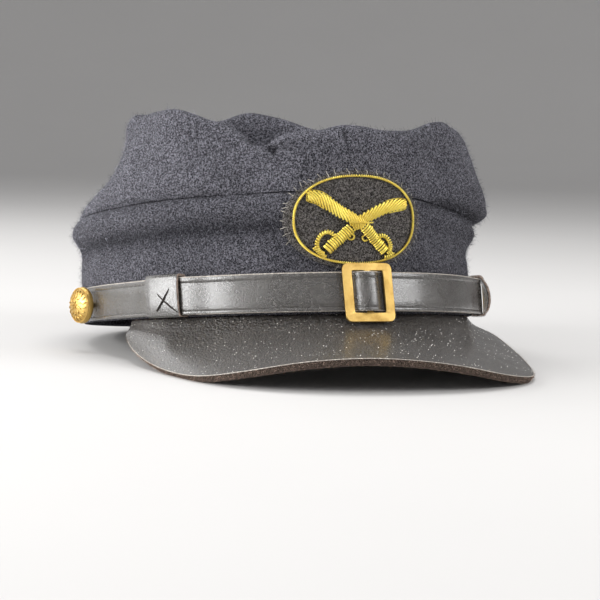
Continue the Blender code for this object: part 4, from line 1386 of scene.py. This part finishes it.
def keeper_path():
    """Points round both straps, in a plane across them: offset from the band, height, share of the bulge."""
    corner = KEEPER_CORNER
    back = GAP + KEEPER_LEATHER / 2
    front = GAP + KEEPER_LEATHER + 2 * STRAP_LEATHER + 3 * GAP + KEEPER_LEATHER / 2
    low = STRAP_FOOT - GAP - KEEPER_LEATHER / 2
    high = STRAP_FOOT + STRAP_HEIGHT + GAP + KEEPER_LEATHER / 2

    def side(share):
        return low + corner + share * (high - low - 2 * corner)

    def arc(centre, height, degrees):
        turns = [math.radians(degree) for degree in degrees]
        return [(centre + corner * math.cos(turn), height + corner * math.sin(turn), 0.0) for turn in turns]

    points = [(front, side(part / 8), math.sin(math.pi * part / 8) ** 0.8) for part in range(9)]
    points += arc(front - corner, high - corner, (22, 45, 68, 90))
    points += arc(back + corner, high - corner, (112, 135, 158, 180))
    points += [(back, side(share), 0.0) for share in (0.75, 0.5, 0.25)]
    points += arc(back + corner, low + corner, (180, 202, 225, 248))
    return points + arc(front - corner, low + corner, (270, 292, 315, 338))


def keeper_outline():
    """Keeper's cross-section: degrees along the strap, and height above the middle of its thickness."""
    half, thick, edge = KEEPER_SPREAD, KEEPER_LEATHER / 2, KEEPER_ROUNDING
    rounding = edge / DEGREE
    top = [(-half, thick - edge), (-half + rounding * 0.3, thick - edge * 0.3), (-half + rounding, thick)]
    top += [(half * share, thick) for share in (-0.6, -0.2, 0.2, 0.6)]
    top += [(half - rounding, thick), (half - rounding * 0.3, thick - edge * 0.3), (half, thick - edge)]
    return top + [(along, -height) for along, height in reversed(top)]


def keeper_rows(name, middle):
    """Cross-sections round a keeper, which bulges at its front."""
    path = keeper_path()
    near, far = KEEPER_BULGE[name]
    rows = []
    for index, (offset, height, share) in enumerate(path):
        before, after = path[index - 1], path[(index + 1) % len(path)]
        along = Vector((after[0] - before[0], after[1] - before[1])).normalized()
        out = Vector((along.y, -along.x))
        row = []
        for turn, rise in keeper_outline():
            lift = share * (near + (far - near) * (turn / KEEPER_SPREAD + 1) / 2)
            row.append(on_band(middle + turn, height + rise * out.y, offset + lift + rise * out.x))
        rows.append(row)
    return rows


def cross_stitch():
    """Paths of the two crossed threads on the front of the left keeper."""
    front = GAP + 2 * KEEPER_LEATHER + 2 * STRAP_LEATHER + 3 * GAP + KEEPER_BULGE["keeper_left"][0]
    paths = []
    for lift, thread in zip(THREAD_LIFT, CROSS_STITCH):
        path = [on_band(angle, height, front + lift) for angle, height in thread]
        for end in (0, -1):
            path[end] = on_band(*thread[end], front + lift - THREAD_SINK)
        paths.append(path)
    return paths


class CAP_OT_keepers(bpy.types.Operator):
    """Leather keepers with raw cut sides painted lighter, as if lit, and the cross stitch on the left one"""
    bl_idname = "cap.keepers"
    bl_label = "Keepers"

    def execute(self, context):
        leather = context.scene.cap_leather
        for name, middle in (("keeper_left", LEFT_KEEPER), ("keeper_right", RIGHT_KEEPER)):
            keeper = rolled_grid(name + "_leather", keeper_rows(name, middle), closed=True)
            shade(keeper, 50)
            finish(keeper, [strap_leather(leather), keeper_edge_painted_light(leather)], [name])
            # Sideways faces get the raw edge, painted light.
            side = REST.to_3x3() @ outward(BAND_SECTIONS[0], middle).cross(Vector((0, 0, 1)))
            for face in keeper.data.polygons:
                face.material_index = abs(face.normal.dot(side)) > 0.5
        thread = find_material("dark thread", thread_material, leather.stitch)
        stitch = wires("keeper_cross_stitch", cross_stitch(), STITCH_RADIUS, ridges=0.1)
        finish(stitch, [thread])
        return {"FINISHED"}


# ---------------------------------------------------------------- brass

class CAP_OT_slide(bpy.types.Operator):
    """Stamped brass slide with softened edges"""
    bl_idname = "cap.slide"
    bl_label = "Slide"

    def execute(self, context):
        slide = quad_copy("slide_buckle", "slide_brass", crease=0.0)
        bevel_edges(slide, 0.00020, 60)
        shade(slide, 80)
        slide.modifiers.new("Even faces", "WEIGHTED_NORMAL").weight = 100
        apply_modifiers(slide)
        finish(slide, [brass(context.scene.cap_metal)], ["slide_buckle"], worn=False)
        return {"FINISHED"}


Leaves = namedtuple("Leaves", "count inner outer twist start radius")
WREATH = [Leaves(18, 0.0050, 0.0068, 0.16, 0.0, 0.00034), Leaves(11, 0.0028, 0.0047, -0.22, 0.5, 0.00036)]
LEAF_TAPER = (0.35, 0.85, 1.0, 0.8, 0.25)
RELIEF_LIFT = 0.00002
ROPE_RADIUS = 0.0074            # of the roped rim's circle
ROPE_STEPS = 96
PETALS = 6
PETAL = ((0.0004, 0.0001), (0.0011, 0.0001), (0.0019, 0.0))     # distance from the middle, and lift


def on_dome(radius, turn, lift):
    """Point on a button's dome, in the button's own frame."""
    share = min(1, radius / BUTTON_RADIUS)
    height = BUTTON_RIM + BUTTON_DOME * math.sqrt(max(0, 1 - share * share))
    return Vector((radius * math.cos(turn), radius * math.sin(turn), height + lift))


def button_relief():
    """Worn generic relief in the button's own frame: a roped rim, a wreath of leaves and a small boss."""
    rim = [on_dome(ROPE_RADIUS, math.tau * step / ROPE_STEPS, RELIEF_LIFT) for step in range(ROPE_STEPS)]
    parts = [wires("rim", [rim], 0.00026, ridges=0.3, closed=True)]
    for ring in WREATH:
        paths = []
        for index in range(ring.count):
            turn = math.tau * (index + ring.start) / ring.count
            paths.append([on_dome(ring.inner + (ring.outer - ring.inner) * share, turn + ring.twist * share,
                                  RELIEF_LIFT) for share in (0.0, 0.25, 0.5, 0.75, 1.0)])
        parts.append(wires("leaves", paths, ring.radius, sides=2, taper=LEAF_TAPER))
    petals = [[on_dome(radius, math.tau * index / PETALS, lift) for radius, lift in PETAL]
              for index in range(PETALS)]
    parts.append(wires("petals", petals, 0.00030))
    return parts


class CAP_OT_buttons(bpy.types.Operator):
    """Domed brass side buttons with a worn wreath in low relief"""
    bl_idname = "cap.buttons"
    bl_label = "Side buttons"

    def execute(self, context):
        colour = tinted(context.scene.cap_metal.brass, 1.15)
        look = find_material("button brass", brass_material, colour, 0.36, 0.55)
        for name, side in (("button_left", -1), ("button_right", 1)):
            dome = subdivide_smoothly(quad_copy(name, name + "_brass", crease=0.6), 2)
            parts = button_relief()
            for part in parts:
                part.data.transform(REST @ button_matrix(side))
            button = joined(name + "_brass", [dome] + parts)
            shade(button, 50)
            finish(button, [look], [name], worn=False)
        return {"FINISHED"}


# ---------------------------------------------------------------- badge

BADGE_MARGIN = (0.90, 1.0)      # reaches between which the badge's margin bends back
BADGE_BITE = 0.0003             # how far the bent margin lies in the wool
BADGE_NAP_LENGTH = 0.7          # of the cap's nap
BADGE_NAP_DENSITY = 1.3
WHIP_STITCHES = 52
WHIP_STEPS = 6
WHIP_INNER = (0.0010, 0.0022)   # shortest and longest reach of a stitch inside the badge's edge
WHIP_OUTER = (0.0004, 0.0010)   # and outside it
WHIP_LEAN = 0.0011
WHIP_RISE = 0.00055
WHIP_RADIUS = 0.00012


def rounded(part):
    """Sine or cosine of an oval a little fuller than an ellipse."""
    return math.copysign(abs(part) ** (2 / RING_FULLNESS), part)


def oval(turn, width, height):
    return width / 2 * rounded(math.cos(turn)), height / 2 * rounded(math.sin(turn))


def bend_badge(backing, surface):
    """Bend the badge's margin back until it lies on the wool."""
    def move(point):
        across, up, offset = badge_place(point)
        lies = offset_on_badge(surface, across, up)
        if lies is None:
            return point
        drop = (lies + BADGE_CLOTH_THICKNESS - BADGE_BITE) * ease(badge_reach(across, up), *BADGE_MARGIN)
        return on_badge(across, up, offset + drop)

    worn_shape(backing, move)


def whip_stitches(chance, surface):
    """Slack, uneven stitches over the badge's edge: denser along its top, each from the cloth to the cap."""
    stitches = []
    width, height = BADGE_CLOTH_SIZE
    for index in range(WHIP_STITCHES):
        turn = math.tau * (index + chance.uniform(-0.3, 0.3)) / WHIP_STITCHES
        across, up = oval(turn, width, height)
        if up < -0.2 * height and chance.random() < 0.5:
            continue
        out = Vector((across / width, up / height)).normalized()
        lean = Vector((-out.y, out.x)) * chance.uniform(-WHIP_LEAN, WHIP_LEAN)
        inner, outer = chance.uniform(*WHIP_INNER), chance.uniform(*WHIP_OUTER)
        stitch = []
        for step in range(WHIP_STEPS + 1):
            share = step / WHIP_STEPS
            spot = Vector((across, up)) + out * (outer * share - inner * (1 - share)) + lean * share
            lies = offset_on_badge(surface, spot.x, spot.y) or 0.0
            stitch.append(on_badge(spot.x, spot.y, lies + WHIP_RISE * math.sin(math.pi * share)))
        stitches.append(stitch)
    return stitches


class CAP_OT_badge_cloth(bpy.types.Operator):
    """Oval of dark wool with its nap and the whip stitches round its edge"""
    bl_idname = "cap.badge_cloth"
    bl_label = "Badge cloth"

    def execute(self, context):
        cloth, seed = context.scene.cap_cloth, context.scene.cap_stage.seed
        wool = [bpy.data.objects[name] for name in ("band_wool", "crown_side_wool")]
        backing = subdivide_smoothly(quad_copy("badge_cloth", "badge_cloth_wool", crease=0.8), 3)
        bend_badge(backing, surface_of(*wool))
        shade(backing, 60)
        finish(backing, [badge_wool(cloth)], ["badge_cloth"], worn=False)
        stitches = whip_stitches(random.Random(seed), surface_of(backing, *wool))
        whip = find_material("pale thread", thread_material, cloth.whip)
        finish(wires("badge_whip_stitches", stitches, WHIP_RADIUS), [whip])
        fibres = find_material("badge nap", nap_material, cloth.badge_wool, tinted(cloth.fleck, 1.1))
        nap("badge_nap", backing, BADGE_NAP_LENGTH * cloth.nap_length, BADGE_NAP_DENSITY * cloth.nap_density,
            seed + 30, fibres)
        return {"FINISHED"}


BLADE_ROWS = 9                  # rows of a sabre's shape from its point to the crossing
BLADE_PAST_CROSSING = 0.0024
BLADE_TIP = 0.0004              # the blade's strands begin this far from its point
HILT_SPACING = 0.00098
HILT_OVERHANG = 0.0012
STRAND_STEPS = 16
STRAND_HALF_WIDTH = 0.0021
STRAND_PACKING = 0.86           # distance between the blade's strands, in thicknesses
OUTLINE_STEPS = (0.0098, 0.0078, 0.0060, 0.0045, 0.0032, 0.0021, 0.0012, 0.0005)    # from the point
OUTLINE_OFFSET = 0.0003
SMOOTH_STEPS = 8
COIL_STEPS = 10
RING_COILS = 210
RING_COIL_STEPS = 6


def sabre_line(sabre, distance):
    """Middle, direction, half width and lift of a sabre at a distance from its point."""
    lengths = [0.0]
    for row, following in zip(sabre.shape, sabre.shape[1:]):
        lengths.append(lengths[-1] + math.hypot(following.across - row.across, following.up - row.up))
    last = len(lengths) - 1
    distance = min(max(distance, 0.0), lengths[-1])
    index = min(sum(length <= distance for length in lengths) - 1, last - 1)
    place = index + (distance - lengths[index]) / (lengths[index + 1] - lengths[index])
    here = row_at(sabre.shape, place)
    ahead, behind = row_at(sabre.shape, min(last, place + 0.1)), row_at(sabre.shape, max(0, place - 0.1))
    along = Vector((ahead.across - behind.across, ahead.up - behind.up)).normalized()
    lift = sabre.lift * bump(place, CROSSING_ROW, CROSSING_REACH, CROSSING_SLOPE)
    return Vector((here.across, here.up)), along, here.half_width, lift


def length_along(rows):
    return sum(math.hypot(b.across - a.across, b.up - a.up) for a, b in zip(rows, rows[1:]))


def strand(sabre, distance, slant, limits, fullness=1.0):
    """Bullion strand laid over the padding at a slant, cut off at the blade's ends."""
    points = []
    for step in range(STRAND_STEPS + 1):
        share = 2 * step / STRAND_STEPS - 1
        reached = distance + share * STRAND_HALF_WIDTH * slant
        if limits[0] <= reached <= limits[1]:
            middle, along, width, lift = sabre_line(sabre, reached)
            spot = middle + share * fullness * width * Vector((-along.y, along.x))
            rise = SABRE_THICKNESS * math.sqrt(max(0, 1 - 0.9 * share * share))
            points.append(on_badge(spot.x, spot.y, 0.0002 + lift + rise))
    return points


def blade_outline(sabre):
    """Wire round the rounded point of the blade and back along both sides of it."""
    points = []
    for side, distances in ((1, OUTLINE_STEPS), (-1, OUTLINE_STEPS[::-1])):
        for distance in distances:
            middle, along, half, lift = sabre_line(sabre, distance)
            spot = middle + side * (half + OUTLINE_OFFSET) * Vector((-along.y, along.x)) - 0.0004 * along
            points.append(on_badge(spot.x, spot.y, 0.0004 + lift))
    return points


def smoothed(points, lift):
    """Dense path on the badge through a few places."""
    path = []
    rows = [Vector(point) for point in points]
    last = len(rows) - 1
    for index in range(last * SMOOTH_STEPS + 1):
        place = index / SMOOTH_STEPS
        start = min(int(place), last - 1)
        near = [rows[max(0, min(last, start + step))] for step in (-1, 0, 1, 2)]
        spot = smooth(*near, place - start)
        path.append(on_badge(spot.x, spot.y, lift))
    return path


def coiled(path, radius, pitch):
    """Wire wound round a path, one turn for each length of the pitch."""
    length = sum((following - point).length for point, following in zip(path, path[1:]))
    turns = length / pitch
    steps = round(turns * COIL_STEPS)
    points = []
    for step in range(steps + 1):
        place = step / steps * (len(path) - 1)
        index = min(int(place), len(path) - 2)
        along = (path[index + 1] - path[index]).normalized()
        side = along.cross(Vector((0, -1, 0.1))).normalized()
        up = side.cross(along)
        spin = math.tau * step / COIL_STEPS
        middle = path[index].lerp(path[index + 1], place - index)
        points.append(middle + radius * (math.cos(spin) * side + 0.7 * math.sin(spin) * up))
    return points


def bullion(sabre, thickness):
    """Strands of a sabre: slanted along its blade, and straight across its hilt, each fourth one wider."""
    blade = length_along(sabre.shape[:BLADE_ROWS]) + BLADE_PAST_CROSSING
    spacing = STRAND_PACKING * thickness * math.hypot(1, sabre.slant)
    overhang = 0.0022 * abs(sabre.slant)
    strands = [strand(sabre, index * spacing - overhang, sabre.slant, (BLADE_TIP, blade))
               for index in range(int((blade + 2 * overhang) / spacing) + 1)]
    for index in range(int((length_along(sabre.shape) + HILT_OVERHANG - blade) / HILT_SPACING)):
        distance = blade + (index + 0.6) * HILT_SPACING
        strands.append(strand(sabre, distance, 0.0, (0.0, 1.0), 1.18 if index % 4 == 2 else 1.04))
    return [points for points in strands if len(points) > 2]


class CAP_OT_sabres(bpy.types.Operator):
    """Two crossed sabres in bullion over padding, with wire outlines, guards and curls"""
    bl_idname = "cap.sabres"
    bl_label = "Sabres"

    def execute(self, context):
        metal = context.scene.cap_metal
        for sabre in SABRES:
            strands = wires(sabre.name + "_strands", bullion(sabre, metal.strand), 0.47 * metal.strand,
                            ridges=0.10, sides=2)
            outline = wires(sabre.name + "_outline", [blade_outline(sabre)], metal.wire / 2, ridges=0.1)
            coils = [coiled(smoothed(sabre.guard, 0.0010), 0.00074, 0.00092),
                     coiled(smoothed(sabre.knot, 0.0012), 0.00060, 0.00092)]
            rope = wires(sabre.name + "_guard", coils, 0.00032)
            fine = coiled(smoothed(sabre.curl, 0.0006), 0.00026, 0.00060)
            curl = wires(sabre.name + "_curl", [fine], 0.00020)
            piece = joined(sabre.name + "_bullion", [strands, outline, rope, curl])
            finish(piece, [gold(metal)], [sabre.name])
        tie = coiled(smoothed(TIE, 2 * SABRE_THICKNESS + 0.0015), 0.00020, 0.00060)
        finish(wires("sabre_tie", [tie], 0.00019), [gold(metal)])
        return {"FINISHED"}


class CAP_OT_badge_ring(bpy.types.Operator):
    """Oval of gold purl laid round the badge"""
    bl_idname = "cap.badge_ring"
    bl_label = "Badge ring"

    def execute(self, context):
        radius = 0.62 * RING_CORD
        path = []
        for index in range(RING_COILS * RING_COIL_STEPS):
            across, up = oval(math.tau * index / (RING_COILS * RING_COIL_STEPS),
                              RING_SIZE[0] - 2 * RING_CORD, RING_SIZE[1] - 2 * RING_CORD)
            spin = math.tau * index / RING_COIL_STEPS
            out = Vector((across, up)).normalized()
            path.append(on_badge(across + out.x * radius * math.cos(spin),
                                 up + out.y * radius * math.cos(spin),
                                 0.0002 + RING_CORD + radius * math.sin(spin)))
        ring = wires("badge_ring_purl", [path], 0.42 * RING_CORD, closed=True)
        finish(ring, [gold(context.scene.cap_metal)], ["badge_ring"])
        return {"FINISHED"}


# ---------------------------------------------------------------- stage

Softbox = namedtuple("Softbox", "name azimuth elevation distance radiance size")
SOFTBOXES = [
    Softbox("left softbox", -89, 13, 1.10, 10.6, (0.82, 0.60)),
    Softbox("left back panel", -130, 13, 1.10, 1.8, (0.60, 0.50)),
    Softbox("high back panel", -164, 38, 1.15, 3.4, (0.50, 0.45)),
    Softbox("right softbox", 47, 26, 1.10, 7.2, (0.70, 0.42)),
    Softbox("front panel", -30, 33, 1.25, 0.5, (1.10, 0.50)),
    Softbox("top panel", 180, 80, 1.25, 4.4, (0.90, 0.80)),
]
AIM_HEIGHT = 0.05               # of the point that the softboxes face
WALL_LIGHT = (0.62, 0.62, 0.63)
WALL_STRENGTH = 0.60
FLOOR_RADIUS = 2.2
COVE = 1.6                      # radius of the curve in which the floor rises at its edge
COVE_STEPS = 14


def area_light(box, strength):
    """Rectangular light at its azimuth and elevation round the cap."""
    light = bpy.data.lights.new(box.name, "AREA")
    light.shape = "RECTANGLE"
    light.size, light.size_y = box.size
    light.energy = strength * box.radiance * math.pi * box.size[0] * box.size[1]
    turn, rise = math.radians(box.azimuth), math.radians(box.elevation)
    lamp = new_object(box.name, light)
    reach, height = box.distance * math.cos(rise), AIM_HEIGHT + box.distance * math.sin(rise)
    lamp.location = (reach * math.sin(turn), -reach * math.cos(turn), height)
    lamp.rotation_euler = (Vector((0, 0, AIM_HEIGHT)) - lamp.location).to_track_quat("-Z", "Y").to_euler()


def coved_floor():
    """Round floor that curves up into a low wall."""
    bpy.ops.object.select_all(action="DESELECT")
    bpy.ops.mesh.primitive_circle_add(vertices=96, radius=FLOOR_RADIUS, fill_type="NGON")
    floor = bpy.context.object
    floor.name = "floor"
    bpy.ops.object.mode_set(mode="EDIT")
    bpy.ops.mesh.select_mode(type="EDGE")
    bpy.ops.mesh.select_all(action="SELECT")
    reach, height = FLOOR_RADIUS, 0.0
    for step in range(1, COVE_STEPS + 1):
        turn = math.pi / 2 * step / COVE_STEPS
        wider, higher = FLOOR_RADIUS + COVE * math.sin(turn), COVE * (1 - math.cos(turn))
        bpy.ops.mesh.extrude_edges_move(TRANSFORM_OT_translate={"value": (0, 0, higher - height)})
        bpy.ops.transform.resize(value=(wider / reach, wider / reach, 1))
        reach, height = wider, higher
    bpy.ops.mesh.select_all(action="SELECT")
    bpy.ops.mesh.normals_make_consistent(inside=True)
    bpy.ops.object.mode_set(mode="OBJECT")
    return shade(floor, 60)


def photo_camera():
    """Camera that sees the worn cap at the photograph's angle, tipped with the cap onto the table."""
    azimuth, elevation, roll = (math.radians(a) for a in (CAMERA_AZIMUTH, CAMERA_ELEVATION, CAMERA_ROLL))
    back = Vector((math.sin(azimuth) * math.cos(elevation), -math.cos(azimuth) * math.cos(elevation),
                   math.sin(elevation)))
    level = Vector((math.cos(azimuth), math.sin(azimuth), 0))
    upright = back.cross(level)
    right = level * math.cos(roll) + upright * math.sin(roll)
    up = upright * math.cos(roll) - level * math.sin(roll)
    place = level * CAMERA_AIM[0] + upright * CAMERA_AIM[1] + back * CAMERA_DISTANCE
    data = bpy.data.cameras.new("camera")
    data.sensor_width = SENSOR
    data.lens = FOCAL_PIXELS * SENSOR / FRAME_PIXELS
    camera = new_object("camera", data)
    rows = [(*row, where) for row, where in zip(zip(right, up, back), place)]
    camera.matrix_world = REST @ Matrix(rows).to_4x4()
    bpy.context.scene.camera = camera


class CAP_OT_stage(bpy.types.Operator):
    """Pale floor, soft lights and the camera"""
    bl_idname = "cap.stage"
    bl_label = "Stage"

    def execute(self, context):
        stage = context.scene.cap_stage
        floor = coved_floor()
        floor.data.materials.append(floor_material("floor", stage.floor))
        for box in SOFTBOXES:
            area_light(box, stage.lights)
        world = bpy.data.worlds.new("studio")
        world.use_nodes = True
        background = world.node_tree.nodes["Background"]
        feed(world.node_tree, background.inputs["Color"], WALL_LIGHT)
        feed(world.node_tree, background.inputs["Strength"], WALL_STRENGTH)
        context.scene.world = world
        context.scene.view_settings.view_transform = "Standard"
        photo_camera()
        return {"FINISHED"}


# ---------------------------------------------------------------- add-on

SETTINGS = {"cap_cloth": ClothSettings, "cap_leather": LeatherSettings, "cap_metal": MetalSettings,
            "cap_stage": StageSettings}
OPERATORS = [CAP_OT_cloth, CAP_OT_nap, CAP_OT_visor, CAP_OT_straps, CAP_OT_keepers, CAP_OT_slide,
             CAP_OT_buttons, CAP_OT_badge_cloth, CAP_OT_sabres, CAP_OT_badge_ring, CAP_OT_stage]


class CAP_PT_panel(bpy.types.Panel):
    """Sizes, colours and makers of the cap"""
    bl_idname = "CAP_PT_panel"
    bl_label = "Forage cap"
    bl_space_type = "VIEW_3D"
    bl_region_type = "UI"
    bl_category = "Cap"

    def draw(self, context):
        layout = self.layout
        for name, settings in SETTINGS.items():
            box = layout.box()
            box.label(text=settings.__doc__)
            for field in settings.__annotations__:
                box.prop(getattr(context.scene, name), field)
        for operator in OPERATORS:
            layout.operator(operator.bl_idname)


def register():
    for made in [*SETTINGS.values(), *OPERATORS, CAP_PT_panel]:
        bpy.utils.register_class(made)
    for name, settings in SETTINGS.items():
        setattr(bpy.types.Scene, name, PointerProperty(type=settings))


def unregister():
    for name in SETTINGS:
        delattr(bpy.types.Scene, name)
    for made in [CAP_PT_panel, *reversed(OPERATORS), *reversed(SETTINGS.values())]:
        bpy.utils.unregister_class(made)


def main():
    register()
    for operator in OPERATORS:
        group, name = operator.bl_idname.split(".")
        getattr(getattr(bpy.ops, group), name)()


if __name__ == "__main__":
    main()
